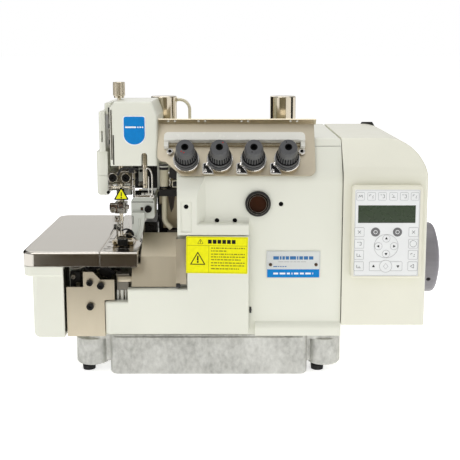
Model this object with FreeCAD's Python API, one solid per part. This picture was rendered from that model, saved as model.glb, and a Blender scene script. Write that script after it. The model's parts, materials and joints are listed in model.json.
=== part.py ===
import FreeCAD, Part
import math
import os

# Direct-drive industrial overlock (serger) head, in millimetres.
# X runs to the operator's right, Y away from the operator, Z up.
# Heights are measured from a datum in the pan, 4.5 mm above the floor. Each part is moved when it is
# written, so that the origin of the files is on the floor, under the middle of the machine's outline.
# Most depths are given as the distance behind the casing's front plane.

V = FreeCAD.Vector

# ---------------------------------------------------------------- driving dimensions
FRONT = -92.05         # Y of the casing's front plane
DEPTH = 200.0          # front plane to the back of the casing
LEFT_END = -218.0      # left edge of the cloth plate
RIGHT_END = 213.0      # crown of the handwheel
FLOOR = -4.5           # the floor, below the datum
FOOT_H = 8.5           # rubber feet under the pan's lobes
PAN_BOTTOM = FLOOR + 0.3
LOBE_BOTTOM = FLOOR + FOOT_H
PAN_TOP = 38.0         # joint between oil pan and frame
BED_TOP = 111.5        # top of the bed casting, under the cloth plate
PLATE_TOP = 126.5      # sewing surface
ARM_TOP = 236.0        # top of arm, column and motor cover
HEAD_TOP = 273.0       # top of the head cover
SLOPE_FOOT = 200.0     # where the casing's front starts to lean back
LEAN = math.radians(32.0)
COLUMN_L = -64.0
COLUMN_R = 100.0
MOTOR_R = 184.4
WALL = 6.0             # cast walls
SKIN = 3.0             # covers
GAP = 0.6              # seam between casing and motor cover
SHAFT_Z = 102.0
SHAFT_D = 75.0
SHAFT_R = 7.0
BEARING_R = 13.0
RUN = 0.05             # radial running clearance
NEEDLE_X = -124.5
NEEDLE_D = 42.0
NEEDLE_BAR_R = 3.4
KNOB_PITCH = 33.0
KNOB_MID_X = -4.8
HINGE_D = -1.5         # front cover hinge
HINGE_Z = 45.5
HINGE_LUG = 3.2
COVER_LOW = 42.5
COVER_HIGH = 142.0
SCREW_X = -126.2       # presser pressure screw
TO_ORIGIN = V(-(LEFT_END + RIGHT_END) / 2, 0, -FLOOR)
KNIFE_D = 100.0        # knife shaft
KNIFE_Z = 140.0
PRESSER_D = 115.0      # presser shaft
PRESSER_Z = 165.0
LOWER_LOOPER = (-152.0, 70.0)
UPPER_LOOPER = (-135.0, 87.0)
LOOPER_ARC = 44.0
CLOTH_PIVOT = (-148.0, 182.0)
GUARD_D = 24.0         # eye guard pin
GUARD_Z = 186.0
PIN_X = (COLUMN_L - 50.0, COLUMN_L + WALL)


# ---------------------------------------------------------------- helpers
def at(depth):
    """Y of a point that lies this far behind the casing's front plane."""
    return FRONT + depth


def block(x0, x1, d0, d1, z0, z1):
    return Part.makeBox(x1 - x0, d1 - d0, z1 - z0, V(x0, at(d0), z0))


def rod_x(radius, x0, x1, d, z):
    return Part.makeCylinder(radius, x1 - x0, V(x0, at(d), z), V(1, 0, 0))


def rod_y(radius, d0, d1, x, z):
    return Part.makeCylinder(radius, d1 - d0, V(x, at(d0), z), V(0, 1, 0))


def rod_z(radius, z0, z1, x, d):
    return Part.makeCylinder(radius, z1 - z0, V(x, at(d), z0), V(0, 0, 1))


def prism_x(points, x0, x1):
    """A (depth, z) outline drawn out along X."""
    wire = Part.makePolygon([V(x0, at(d), z) for d, z in points + points[:1]])
    return Part.Face(wire).extrude(V(x1 - x0, 0, 0))


def prism_y(points, d0, d1):
    """An (x, z) outline drawn out along Y."""
    wire = Part.makePolygon([V(x, at(d0), z) for x, z in points + points[:1]])
    return Part.Face(wire).extrude(V(0, d1 - d0, 0))


def fuse(*shapes):
    whole = shapes[0]
    for shape in shapes[1:]:
        whole = whole.fuse(shape)
    return whole.removeSplitter()


def cut(shape, *tools):
    for tool in tools:
        shape = shape.cut(tool)
    return shape


def rounded(shape, radius, keep):
    """Rounds the straight edges for which keep(middle, direction) holds."""
    chosen = []
    for edge in shape.Edges:
        if edge.Curve.TypeId != "Part::GeomLine":
            continue
        direction = edge.tangentAt(edge.FirstParameter)
        middle = edge.CenterOfMass
        if keep(V(middle.x, middle.y - FRONT, middle.z), direction):
            chosen.append(edge)
    return shape.makeFillet(radius, chosen)


def along_x(p, t):
    return abs(t.x) > 0.99


def along_y(p, t):
    return abs(t.y) > 0.99


def along_z(p, t):
    return abs(t.z) > 0.99


def ring_x(outer, inner, x0, x1, d, z):
    return rod_x(outer, x0, x1, d, z).cut(rod_x(inner, x0 - 1, x1 + 1, d, z))


def socket_screw(radius, height, base, axis):
    """Cap head with a hexagon socket."""
    head = Part.makeCylinder(radius, height, V(*base), V(*axis))
    head = head.makeChamfer(radius * 0.12, [e for e in head.Edges if e.Closed][:1])
    top = V(*base) + V(*axis) * (height * 0.45)
    hexagon = [V(radius * 0.5 * math.cos(math.radians(60 * k)),
                 radius * 0.5 * math.sin(math.radians(60 * k)), 0) for k in range(7)]
    socket = Part.Face(Part.makePolygon(hexagon)).extrude(V(0, 0, height))
    socket.Placement = FreeCAD.Placement(top, FreeCAD.Rotation(V(0, 0, 1), V(*axis)))
    return head.cut(socket)


# ---------------------------------------------------------------- base
LOBE_R = 17.0
FOOT_STEM = 4.0
LOBES = [(x, d) for x in (-153.5, 85.0) for d in (22.0, DEPTH - 22.0)]
FEET = [(x + dx, d) for (x, d), dx in zip(LOBES, (-5.0, -5.0, -6.0, -6.0))]


def oil_pan():
    front, back = 1.5, DEPTH - 10.0
    tray = rounded(block(-134, 67, front, back, PAN_BOTTOM, PAN_TOP), 8, along_z)
    tray = rounded(tray, 3, lambda p, t: p.z < PAN_BOTTOM + 0.1)
    deck = rounded(block(-160, 101, front + 6, back - 3, PAN_TOP - 6, PAN_TOP), 10, along_z)
    lobes = []
    for x, d in LOBES:
        lobe = rod_z(LOBE_R, LOBE_BOTTOM, PAN_TOP - 6, x, d)
        lobe = lobe.makeFillet(3, [e for e in lobe.Edges if e.Closed and e.CenterOfMass.z < LOBE_BOTTOM + 1])
        inward = 1 if x < 0 else -1
        ends = sorted((x, x + inward * 22))
        web = block(ends[0], ends[1], d - 9, d + 9, LOBE_BOTTOM + 3, PAN_TOP - 4)
        lobes += [lobe, web]
    pan = fuse(tray, deck, *lobes)
    pan = pan.cut(block(-180, 120, front - 1, front + 1.2, PAN_TOP - 2.5, PAN_TOP + 1))
    basin = rounded(block(-129, 62, front + 5, back - 5, PAN_BOTTOM + 5, PAN_TOP + 1), 6, along_z)
    stems = [rod_z(FOOT_STEM + RUN, LOBE_BOTTOM - 1, LOBE_BOTTOM + 11, x, d) for x, d in FEET]
    return cut(pan, basin, *stems)


def rubber_feet():
    feet = []
    for x, d in FEET:
        pad = Part.makeCone(6.4, 7.0, FOOT_H, V(x, at(d), FLOOR), V(0, 0, 1))
        groove = rod_z(12, FLOOR + 4.6, FLOOR + 5.6, x, d).cut(rod_z(6.0, FLOOR + 4.6, FLOOR + 5.6, x, d))
        stem = rod_z(FOOT_STEM, LOBE_BOTTOM - 1, LOBE_BOTTOM + 10, x, d)
        feet.append(pad.cut(groove).fuse(stem).removeSplitter())
    return feet


# ---------------------------------------------------------------- frame
def lean_depth(z, inset):
    """Depth of the leaning front at height z, moved inwards by inset."""
    return SKIN + (z - SLOPE_FOOT) * math.tan(LEAN) + inset / math.cos(LEAN)


def column_outline(inset, z0, z1):
    face = SKIN + inset
    knee = SLOPE_FOOT + (inset - inset / math.cos(LEAN)) / math.tan(LEAN)
    return [(face, z0), (face, knee), (lean_depth(z1, inset), z1),
            (DEPTH - inset, z1), (DEPTH - inset, z0)]


SEAM_Z = 228.0
WINDOW = (16.3, 173.0)
LEDGE_D = -7.0         # front of the raised part of the casing
LEDGE_Z = 154.4
LEDGE_R = 7.2
PAD_L = COLUMN_L + 1
PAD_R = -44.0
PAD_KNEE = 24.0        # radius where the raised part starts to lean back
PLUG_R = 2.3
PLUGS = [(39.2, 172.5, SKIN), (-54.4, 171.4, LEDGE_D),
         (-24.4, LEDGE_Z + 1.6, SKIN), (-6.6, LEDGE_Z + 1.6, SKIN)]


def raised_face():
    """L-shaped thickening of the front, flush with the cover below it."""
    low = COVER_HIGH + 1
    plan = [(PAD_L, SKIN + 1), (PAD_L, LEDGE_D), (PAD_R, LEDGE_D), (PAD_R + 8, SKIN), (PAD_R + 8, SKIN + 1)]
    wire = Part.makePolygon([V(x, at(d), low) for x, d in plan + plan[:1]])
    upright = Part.Face(wire).extrude(V(0, 0, SLOPE_FOOT - low))
    knee = SLOPE_FOOT - (SKIN - LEDGE_D) / math.tan(LEAN)
    reach = PAD_KNEE * math.tan(LEAN / 2)
    slant = [(LEDGE_D - 1, knee - reach)]
    for k in range(7):
        turn = LEAN * k / 6
        slant.append((LEDGE_D + PAD_KNEE * (1 - math.cos(turn)), knee - reach + PAD_KNEE * math.sin(turn)))
    slant += [(SKIN, SLOPE_FOOT), (SKIN, SLOPE_FOOT + 1), (LEDGE_D - 1, SLOPE_FOOT + 1)]
    top = prism_x(slant, PAD_L - 1, PAD_R + 9)
    ledge = prism_x([(SKIN + 1, low), (LEDGE_D, low), (LEDGE_D, LEDGE_Z - 1.5), (LEDGE_D + 1.5, LEDGE_Z),
                     (0.5, LEDGE_Z + 0.6), (2, LEDGE_Z + 2), (SKIN, LEDGE_Z + 4.5), (SKIN + 1, LEDGE_Z + 4.5)],
                    PAD_L, LEDGE_R)
    dent = block(PAD_L + 3.3, PAD_R - 5.1, LEDGE_D - 1, LEDGE_D + 0.8, low + 3, knee - reach - 1)
    return cut(upright, top).fuse(ledge).removeSplitter().cut(dent)


def main_frame():
    column = prism_x(column_outline(0, PAN_TOP, SEAM_Z), COLUMN_L, COLUMN_R)
    column = rounded(column, 20, lambda p, t: abs(t.x) > 0.99 and abs(p.z - SLOPE_FOOT) < 1 and p.y < 5)
    room = prism_x(column_outline(WALL, PAN_TOP + WALL, SEAM_Z + 1), COLUMN_L + WALL, COLUMN_R - WALL)
    bed = block(-176, COLUMN_L, SKIN, DEPTH, PAN_TOP, BED_TOP)
    chamber = block(-170, COLUMN_L - 0.01, SKIN - 1, 100, PAN_TOP + WALL, BED_TOP + 1)
    crank_room = block(-170, COLUMN_L - WALL, 106, DEPTH - WALL, PAN_TOP + WALL, BED_TOP - WALL)
    flange = prism_x([(-1, PAN_TOP), (-1, PAN_TOP + 8), (-0.4, PAN_TOP + 10.5), (1, PAN_TOP + 12.5),
                      (SKIN, PAN_TOP + 14), (SKIN + 1, PAN_TOP + 14), (SKIN + 1, PAN_TOP)], 13.5, COLUMN_R)
    lugs = []
    for x in (-108.0, -8.0):
        lugs.append(rod_x(HINGE_LUG, x, x + 8, HINGE_D, HINGE_Z))
        lugs.append(block(x, x + 8, HINGE_D, SKIN + 1, HINGE_Z - HINGE_LUG, HINGE_Z + HINGE_LUG))
    strap = block(-108, -100, SKIN, SKIN + 4, PAN_TOP, HINGE_Z + HINGE_LUG)
    frame = fuse(column, bed, flange, strap, raised_face(), *lugs)
    bearing_holes = [rod_x(BEARING_R + RUN, x, x + 8, SHAFT_D, SHAFT_Z)
                     for x in (-177, COLUMN_L - 1, COLUMN_R - 7)]
    left_wall_slot = block(-177, -169, SKIN - 1, 20, PAN_TOP + WALL, BED_TOP + 1)
    return cut(
        frame, room, chamber, crank_room, left_wall_slot, *bearing_holes,
        rod_x(1.9, -110, 4, HINGE_D, HINGE_Z),
        rod_x(5 + RUN, COLUMN_L - 1, COLUMN_L + 7, KNIFE_D, KNIFE_Z),
        rod_x(5 + RUN, COLUMN_L - 1, COLUMN_L + 7, PRESSER_D, PRESSER_Z),
        rod_y(5 + RUN, 99, 107, *LOWER_LOOPER),
        rod_y(4 + RUN, 99, 107, *UPPER_LOOPER),
        rod_z(4 + RUN, BED_TOP - 13, BED_TOP + 1, *CLOTH_PIVOT),
        rod_y(9.5, SKIN - 2, SKIN + WALL + 1, *WINDOW),
        *[rod_y(PLUG_R, d - 4, d + 4, x, z) for x, z, d in PLUGS],
        block(-30, 70, DEPTH - WALL - 1, DEPTH + 1, 70, 190))


def top_cover():
    outer = prism_x([(lean_depth(SEAM_Z + 0.4, 0), SEAM_Z + 0.4), (lean_depth(ARM_TOP, 0), ARM_TOP),
                     (DEPTH, ARM_TOP), (DEPTH, SEAM_Z + 0.4)], COLUMN_L, COLUMN_R)
    outer = rounded(outer, 3, lambda p, t: p.z > ARM_TOP - 0.1)
    recess = block(COLUMN_L + 4, COLUMN_R - 4, lean_depth(ARM_TOP, 0) + 6, DEPTH - 4, SEAM_Z, ARM_TOP - 3)
    return outer.cut(recess)


def rear_cover():
    plate = rounded(block(-38, 78, DEPTH, DEPTH + 2, 62, 198), 8, along_y)
    return rounded(plate, 1, lambda p, t: p.y > DEPTH + 1.9)


def side_casing():
    """Painted cover on the left end of the bed."""
    body = rounded(block(-209, -177, -8, 190, 39, BED_TOP - 9), 7,
                   lambda p, t: p.x < -208 and (abs(t.y) > 0.99 or abs(t.z) > 0.99) and p.z < 100)
    lip = rounded(block(LEFT_END + 1, -177, -9, 192, BED_TOP - 10, BED_TOP), 9,
                  lambda p, t: abs(t.z) > 0.99 and p.x < -210)
    lip = rounded(lip, 1.5, lambda p, t: p.z < BED_TOP - 9.9 and p.x < -178)
    inside = block(-206, -176, -5, 187, 42, BED_TOP - 3)
    return fuse(body, lip).cut(inside)


def side_plate():
    """Bright nickel plate beside the looper cover, bent back along its right edge."""
    outline = [(-175, 38.5), (-137, 38.5), (-137, 76), (-127, 76), (-127, 97), (-141, 97),
               (-148, 105), (-158, 105), (-158, 89.5), (-175, 89.5)]
    face = prism_y(outline, -4, -2.5)
    bend = block(-138.5, -137, -3, SKIN, 38.5, 75)
    foot = block(-175, -137, -3, SKIN, 38.5, 40)
    return fuse(face, bend, foot)


# ---------------------------------------------------------------- sewing surface
def plate_shell(x0, x1, corners):
    """Cloth plate section: flat top, rolled edge, open underneath."""
    outer = block(x0, x1, -10, 190, BED_TOP + 0.5, PLATE_TOP)
    outer = corners(outer)
    edge = [e for e in outer.Edges if e.CenterOfMass.z > PLATE_TOP - 0.01
            and not (abs(e.CenterOfMass.x + 140) < 1.5 and e.Curve.TypeId == "Part::GeomLine")]
    return outer.makeFillet(2.5, edge)


def cloth_plate():
    def corners(shape):
        shape = rounded(shape, 13, lambda p, t: abs(t.z) > 0.99 and p.x < -210)
        return rounded(shape, 8, lambda p, t: abs(t.z) > 0.99 and p.x > -141 and p.y > 180)
    plate = plate_shell(LEFT_END, -140, corners)
    inside = rounded(block(LEFT_END + 4, -136, -6.5, 172, BED_TOP, PLATE_TOP - 3.5), 9,
                     lambda p, t: abs(t.z) > 0.99 and p.x < -200)
    x, d = CLOTH_PIVOT
    return cut(plate, inside, rod_z(4 + RUN, BED_TOP, PLATE_TOP - 3.4, x, d))


def bed_plate():
    """Fixed strip of the sewing surface that holds the needle plate."""
    outer = block(-139.6, -103, -10, 190, BED_TOP, PLATE_TOP)
    outer = rounded(outer, 2.5, lambda p, t: p.z > PLATE_TOP - 0.1 and (p.y < -9 or p.y > 189))
    inside = block(-141, -102, -6.5, 186.5, BED_TOP - 1, PLATE_TOP - 3.5)
    pocket = block(-138, -102, 6, 74, BED_TOP, PLATE_TOP + 1)
    ledge = block(-139.6, -136, 4, 76, PLATE_TOP - 7, PLATE_TOP - 3.5)
    end = block(-105, -103, -8, 4, BED_TOP, PLATE_TOP - 3)
    return fuse(cut(outer, inside, pocket), ledge, end)


def needle_plate():
    plate = block(-137.8, -103, 6.2, 73.8, PLATE_TOP - 3.5, PLATE_TOP)
    plate = rounded(plate, 0.8, lambda p, t: p.z > PLATE_TOP - 0.1 and p.x > -103.5)
    slots = [block(-128.5, -120.5, 38, 45, PLATE_TOP - 5, PLATE_TOP + 1),
             block(-134.2, -130.8, 53.8, 72.2, PLATE_TOP - 5, PLATE_TOP + 1),
             block(-128.7, -121.3, 53.8, 72.2, PLATE_TOP - 5, PLATE_TOP + 1),
             block(-120.3, -104.5, 49.5, 54.0, PLATE_TOP - 5, PLATE_TOP + 1),
             block(-105.3, -102, 36.5, 48.9, PLATE_TOP - 5, PLATE_TOP + 1)]
    holes = [rod_z(2.2, PLATE_TOP - 5, PLATE_TOP + 1, x, d) for x, d in ((-118, 14), (-134, 14))]
    return cut(plate, *slots, *holes)


def lower_knife():
    blade = block(-105, -102.7, 37, 48.4, 100, PLATE_TOP)
    return blade.makeChamfer(0.8, [e for e in blade.Edges
                                   if e.CenterOfMass.z > PLATE_TOP - 0.1 and abs(e.CenterOfMass.x + 105) < 0.1])


def lower_knife_holder():
    stand = rounded(block(-126.5, -113, 4, 16, 77, 101), 1.2, along_z)
    bar = block(-116, -105, 8, 48.4, 88, 100)
    foot = block(-122, -105, 8, 40, 60, 88)
    base = block(-122, -105, 20, 40, PAN_TOP + WALL, 62)
    return fuse(stand, bar, foot, base)


def chip_chute():
    """Bent nickel sheet that sends trimmings forwards, its right wall, and the plate under the arm."""
    end = COLUMN_L - 0.1
    sheet = prism_x([(36, 137), (8.5, 118), (-2, 89.2), (-0.8, 89.2), (9.6, 117.2), (36.7, 136)], -110, end)
    sheet = sheet.cut(block(-111, -101.5, -10, 60, BED_TOP - 0.5, 140))
    wall = prism_x([(-6, 93), (-6, 139), (36, 139), (36, 137), (8.5, 118), (-2, 90)], end - 1, end)
    strip = block(end - 1, -54.8, -6, -4.8, 93, 139)
    chute = fuse(sheet, wall, strip)
    back = block(-86, COLUMN_L, 54, 55.2, 138, 196)
    slot = prism_y([(-79, 183), (-68, 183), (-71, 160), (-74, 154)], 53, 57)
    return [chute, back.cut(slot)]


def feed_dog():
    bar = block(-134, -121.5, 56, 112, 113, 119)
    rows = []
    for x0, x1 in ((-133.7, -131.3), (-128.2, -121.8)):
        comb = [(56, 118), (56, 126)]
        for k in range(7):
            comb += [(56 + 2 * k + 1.2, 126.7), (56 + 2 * k + 2, 126)]
        rows.append(prism_x(comb + [(70, 118)], x0, x1))
    return fuse(bar, *rows)


# ---------------------------------------------------------------- head
def head_frame():
    tower = block(-128.9, -88, 50, 88, 205, 262)
    arm = rounded(block(-128.4, COLUMN_L, 60, 150, 196, ARM_TOP), 8,
                  lambda p, t: abs(t.x) > 0.99 and p.y > 140)
    nose = block(-133, -113, 54, 90, 186, 205)
    lug = block(-128.4, -117, 34, 51, 236, 243)
    whole = fuse(tower, arm, nose, lug)
    return cut(
        whole,
        block(-122, -92, 66, 84, 208, 256),
        block(-122, COLUMN_L - 2, 70, 144, 202, 230),
        rod_z(NEEDLE_BAR_R + RUN, 230, 250, NEEDLE_X, NEEDLE_D),
        rod_z(1.8 + RUN, 248, 263, SCREW_X, 56))


def head_cover():
    outline = [(-131, 209), (-131, 267), (-126, HEAD_TOP), (-89, HEAD_TOP), (-83.8, 259), (-83.8, 209)]
    outer = prism_y(outline, 15, 88)
    outer = rounded(outer, 2.5, lambda p, t: p.y < 15.1 and p.z > 209.1)
    core = [(-129.2, 205), (-129.2, 266), (-125.5, 270.5), (-90.2, 270.5), (-86.3, 258.5), (-86.3, 205)]
    slot = rounded(block(-100, -94, 10, 20, 200, 222), 2.9, lambda p, t: abs(t.y) > 0.99 and p.z > 221)
    arm_gap = block(-87, -82, 59.4, 90, 200, ARM_TOP + 0.6)
    return cut(outer, prism_y(core, 17.5, 90), slot, arm_gap, rod_z(4.0, 265, 275, SCREW_X, 56))


def head_side_cover():
    high = rounded(block(-138, -131.3, 30, 125, 222, 271), 2, lambda p, t: p.x < -137.9 and p.z > 222.1)
    low = rounded(block(-143.5, -137, 26, 130, 222, 263), 2.5, lambda p, t: p.x < -143 and p.z > 222.1)
    inside = block(-141, -131, 30, 126, 221, 259)
    inside_high = block(-136, -131, 34, 121, 221, 268)
    slot = block(-141, -139.5, 20, 35, 232, 243)
    return cut(fuse(high, low), inside, inside_high, slot)


def needle_guard_box():
    outer = rounded(block(-147, -135.5, 28, 110, 177.5, 222), 4,
                    lambda p, t: p.x < -146 and (abs(t.y) > 0.99 or abs(t.z) > 0.99) and p.z < 221)
    seam = block(-148, -134, 27, 27.9 + 0.6, 197, 197.6)
    return cut(outer, block(-144.5, -135, 31, 107, 180, 223), seam)


def needle_bar_guide():
    body = rounded(block(-135, -110, 28, 54, 189.5, 201), 1.2, along_y)
    lugs = []
    for x in (-134.0, -112.5):
        lugs.append(rod_x(2.9, x, x + 2.5, GUARD_D, GUARD_Z))
        lugs.append(block(x, x + 2.5, GUARD_D, 34, GUARD_Z - 2.5, 191))
    guide = fuse(body, *lugs)
    return cut(guide, rod_z(NEEDLE_BAR_R + RUN, 180, 205, NEEDLE_X, NEEDLE_D),
               rod_x(1.5, -136, -108, GUARD_D, GUARD_Z))


def pivot_pins():
    x, d = CLOTH_PIVOT
    return [rod_x(5, PIN_X[0], PIN_X[1], PRESSER_D, PRESSER_Z),
            rod_z(4, BED_TOP - 12, PLATE_TOP - 3.6, x, d),
            rod_x(1.5, -134.4, -109.6, GUARD_D, GUARD_Z)]


def needle_bar():
    return rod_z(NEEDLE_BAR_R, 168, 256, NEEDLE_X, NEEDLE_D)


def needle_clamp():
    body = rounded(block(-130.5, -118.5, 34.5, 50, 157, 168), 1.5, along_z)
    screws = [socket_screw(1.9, 2.4, (x, at(34.5), 161.5), (0, -1, 0)) for x in (-127.3, -121.7)]
    return fuse(body, *screws)


def needles():
    made = []
    for x in (NEEDLE_X - 1.1, NEEDLE_X + 1.1):
        shank = rod_z(1.0, 148, 157, x, NEEDLE_D)
        blade = rod_z(0.6, 134, 148, x, NEEDLE_D)
        tip = Part.makeCone(0.1, 0.6, 3, V(x, at(NEEDLE_D), 131), V(0, 0, 1))
        made.append(fuse(shank, blade, tip))
    return made


def take_up_rod():
    """Thread take-up post that shows in the head cover's slot, with its link to the needle bar."""
    post = rod_z(2.4, 186, 223, -97, 20.5)
    link = rounded(block(-128, -94.5, 18.4, 47, 220, 226), 2, along_z)
    eye = rod_y(0.9, 15, 30, -97, 189.5)
    return cut(fuse(post, link), rod_z(NEEDLE_BAR_R + 0.02, 215, 230, NEEDLE_X, NEEDLE_D), eye)


# ---------------------------------------------------------------- presser, knife, loopers
def presser_arm():
    head = rounded(block(-112.5, -88.7, 28, 56, 153, 173), 2.5, along_y)
    ridge = block(-110, -91, 28, 36, 172, 176)
    bar = prism_x([(54, 158), (PRESSER_D, 156), (PRESSER_D, 174), (54, 173)], -108, -92)
    hub = rod_x(9, -108, -92, PRESSER_D, PRESSER_Z)
    leg = prism_y([(-111.5, 134), (-104, 130.5), (-100, 142), (-98.5, 156), (-111.5, 156)], 24, 33)
    shoulder = block(-111.5, -98.5, 24, 30, 150, 160)
    arm = fuse(head, ridge, bar, hub, leg, shoulder)
    return arm.cut(rod_x(5 + RUN, -115, -85, PRESSER_D, PRESSER_Z))


def presser_foot():
    sole = prism_x([(17, 131.5), (21, 127), (68, 127), (68, 130), (23, 130), (18.5, 133)], -131, -110)
    ankle = block(-118, -111.5, 24, 36, 129.5, 140)
    foot = fuse(sole, ankle)
    return cut(foot, block(-128.5, -121.2, 32, 52, 125, 132), block(-121.5, -109, 45, 59, 125, 132),
               block(-127, -126, 10, 33, 129, 135))


def knife_arm():
    shaft = rod_x(5, -99, -48, KNIFE_D, KNIFE_Z)
    hub = rod_x(9, -99, -88, KNIFE_D, KNIFE_Z)
    bar = prism_x([(60, 134), (KNIFE_D, 132), (KNIFE_D, 148), (60, 147)], -98, -89)
    clamp = rounded(block(-100, -88, 40, 62, 132.5, 147), 1.5, along_x)
    screw = socket_screw(3, 2, (-94, at(40), 140), (0, -1, 0))
    return fuse(shaft, hub, bar, clamp, screw)


def upper_knife():
    return prism_x([(40, 128.5), (48, 129.8), (50, 146), (40, 146)], -102.4, -100)


def lower_looper():
    x, z = LOWER_LOOPER
    shaft = rod_y(5, 38, 104, x, z)
    hub = rod_y(9, 40, 50, x, z)
    blade = prism_y([(-158, 73), (-146, 66), (-140, 98), (-127.8, 110.8), (-127.5, 112),
                     (-134, 111.8), (-147, 106.5), (-150, 98)], 44, 46.5)
    return fuse(shaft, hub, blade)


def upper_looper():
    x, z = UPPER_LOOPER
    tip, tail = math.radians(53), math.radians(-7)
    curve = []
    for k in range(13):
        turn = tail + (tip - tail) * k / 12
        curve.append((x + (LOOPER_ARC + 1.5) * math.cos(turn), z + (LOOPER_ARC + 1.5) * math.sin(turn)))
    for k in range(12, -1, -1):
        turn = tail + (tip - tail) * k / 12
        inner = LOOPER_ARC - 1.5 + (2.2 if k == 12 else 0)
        curve.append((x + inner * math.cos(turn), z + inner * math.sin(turn)))
    blade = prism_y(curve, 50.5, 53)
    shaft = rod_y(4, 50.5, 104, x, z)
    hub = rod_y(7, 50.5, 58, x, z)
    arm = prism_y([(x, z + 4), (x, z - 5), (x + 42, z - 7.8), (x + 43, z - 2)], 50.5, 53)
    return fuse(shaft, hub, arm, blade)


# ---------------------------------------------------------------- drive
def main_shaft():
    shaft = fuse(rod_x(SHAFT_R, -172, MOTOR_R + 1, SHAFT_D, SHAFT_Z),
                 rod_x(6, MOTOR_R, 204, SHAFT_D, SHAFT_Z))
    throws = []
    for x, lift in ((-90, 4), (-162, -4), (-32, 4), (20, -4)):
        throws.append(rod_x(14, x, x + 9, SHAFT_D, SHAFT_Z + lift))
    return fuse(shaft, *throws)


def shaft_bearings():
    return [ring_x(BEARING_R, SHAFT_R + RUN, x, x + WALL, SHAFT_D, SHAFT_Z)
            for x in (-176, COLUMN_L, COLUMN_R - WALL)]


def motor_stator():
    flange = ring_x(46, 15, COLUMN_R, COLUMN_R + 6, SHAFT_D, SHAFT_Z)
    barrel = ring_x(42, 24.1, COLUMN_R + 5, 160, SHAFT_D, SHAFT_Z)
    fins = []
    for k in range(12):
        fin = block(COLUMN_R + 12, 152, SHAFT_D - 1.5, SHAFT_D + 1.5, SHAFT_Z + 41, SHAFT_Z + 45)
        fin.rotate(V(0, at(SHAFT_D), SHAFT_Z), V(1, 0, 0), 30 * k)
        fins.append(fin)
    return fuse(flange, barrel, *fins)


def motor_rotor():
    return ring_x(23.5, SHAFT_R + 0.02, 110, 158, SHAFT_D, SHAFT_Z)


MOTOR_CORNER = 38.0
GLAND = (152.0, 227.0)
GLAND_R = 4.9
NUT_R = 12.5


def motor_cover_solid(inset):
    """The cover's outer form, moved inwards by inset."""
    side = [(inset, 49 + inset), (inset, 204 - inset * 0.3), (27 + inset, ARM_TOP - inset),
            (DEPTH - inset, ARM_TOP - inset), (DEPTH - inset, 49 + inset)]
    body = prism_x(side, COLUMN_R + GAP, MOTOR_R - inset)
    corner = rounded(block(COLUMN_R - 60, MOTOR_R - inset, -5, DEPTH + 5, 49 + inset, ARM_TOP - inset),
                     MOTOR_CORNER - inset, lambda p, t: abs(t.y) > 0.99 and p.x > 150 and p.z > 200)
    return body.common(corner)


def motor_cover():
    outer = motor_cover_solid(0)
    outer = rounded(outer, 20, lambda p, t: abs(t.x) > 0.99 and p.y < 1 and p.z > 190)
    outer = rounded(outer, 3, lambda p, t: abs(t.x) > 0.99 and p.z > ARM_TOP - 1)
    shell = outer.cut(motor_cover_solid(SKIN))
    edge = block(COLUMN_R, COLUMN_R + 2, -1, 201, 49, 52)
    return cut(shell, rod_x(12, 170, 200, SHAFT_D, SHAFT_Z), rod_y(GLAND_R + 0.1, 180, 210, *GLAND)).fuse(
        edge.common(outer)).removeSplitter()


def handwheel():
    """Deep-rimmed wheel with a shallow crown; a dimple in the rim marks the shaft's position."""
    rim, shoulder, crown = 37.4, 34.2, 6.6
    outline = [(186.0, 6.02), (186.0, 33.0), (186.8, 36.4), (188.2, rim), (202.4, rim)]
    for k in range(1, 6):
        turn = math.radians(18 * k)
        outline.append((202.4 + 4.0 * math.sin(turn), shoulder + (rim - shoulder) * math.cos(turn)))
    for k in range(1, 9):
        radius = shoulder * (1 - k / 8)
        outline.append((RIGHT_END - crown * (radius / shoulder) ** 2, radius))
    outline += [(204.2, 0.0), (204.2, 6.02)]
    points = [V(x, at(SHAFT_D), SHAFT_Z + r) for x, r in outline]
    face = Part.Face(Part.makePolygon(points + points[:1]))
    wheel = face.revolve(V(0, at(SHAFT_D), SHAFT_Z), V(1, 0, 0), 360)
    turn = math.radians(26)
    outward = V(0, -math.cos(turn), -math.sin(turn))
    dimple = Part.makeCylinder(2.3, 9, V(196.5, at(SHAFT_D), SHAFT_Z) + outward * 32, outward)
    return wheel.cut(dimple)


def cable_gland():
    """Black cable outlet whose big nut shows over the back edge of the motor cover."""
    x, z = GLAND
    turns = [math.radians(60 * k) for k in range(6)]
    nut = prism_y([(x + NUT_R * math.cos(a), z + NUT_R * math.sin(a)) for a in turns], DEPTH, DEPTH + 4)
    nut = nut.common(Part.makeCone(11.2, 15.2, 4, V(x, at(DEPTH), z), V(0, 1, 0)))
    collar = Part.makeCone(7.5, 5.5, 6, V(x, at(DEPTH + 4), z), V(0, 1, 0))
    sleeve = rod_y(GLAND_R, DEPTH - 8, DEPTH, x, z)
    return fuse(nut, collar, sleeve).cut(rod_y(3, DEPTH - 9, DEPTH + 12, x, z))


# ---------------------------------------------------------------- control panel
def control_panel():
    body = rounded(block(108.3, 178.2, -8, 0, 99.5, 192.4), 3, along_y)
    body = rounded(body, 1.8, lambda p, t: p.y < -7.9)
    return cut(body, block(111.0, 175.0, -9, -7.2, 101.9, 188.8), block(114.3, 170.9, -9, -5, 155.4, 173.2))


def keypad_membrane():
    film = block(111.1, 174.9, -7.8, -7.2, 102.0, 188.7)
    return film.cut(block(114.4, 170.8, -9, -7, 155.5, 173.1))


def lcd_window():
    return block(114.4, 170.8, -7.4, -5, 155.5, 173.1)


# ---------------------------------------------------------------- thread tensions
def on_slope(shape):
    """Moves a shape from the tension plate's own frame (X, up the plate, outwards) into place."""
    turn = FreeCAD.Rotation(V(1, 0, 0), 90 - math.degrees(LEAN))
    origin = V(0, at(-1.1), 199.1)
    moved = shape.copy()
    moved.Placement = FreeCAD.Placement(origin, turn).multiply(moved.Placement)
    return moved


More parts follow.
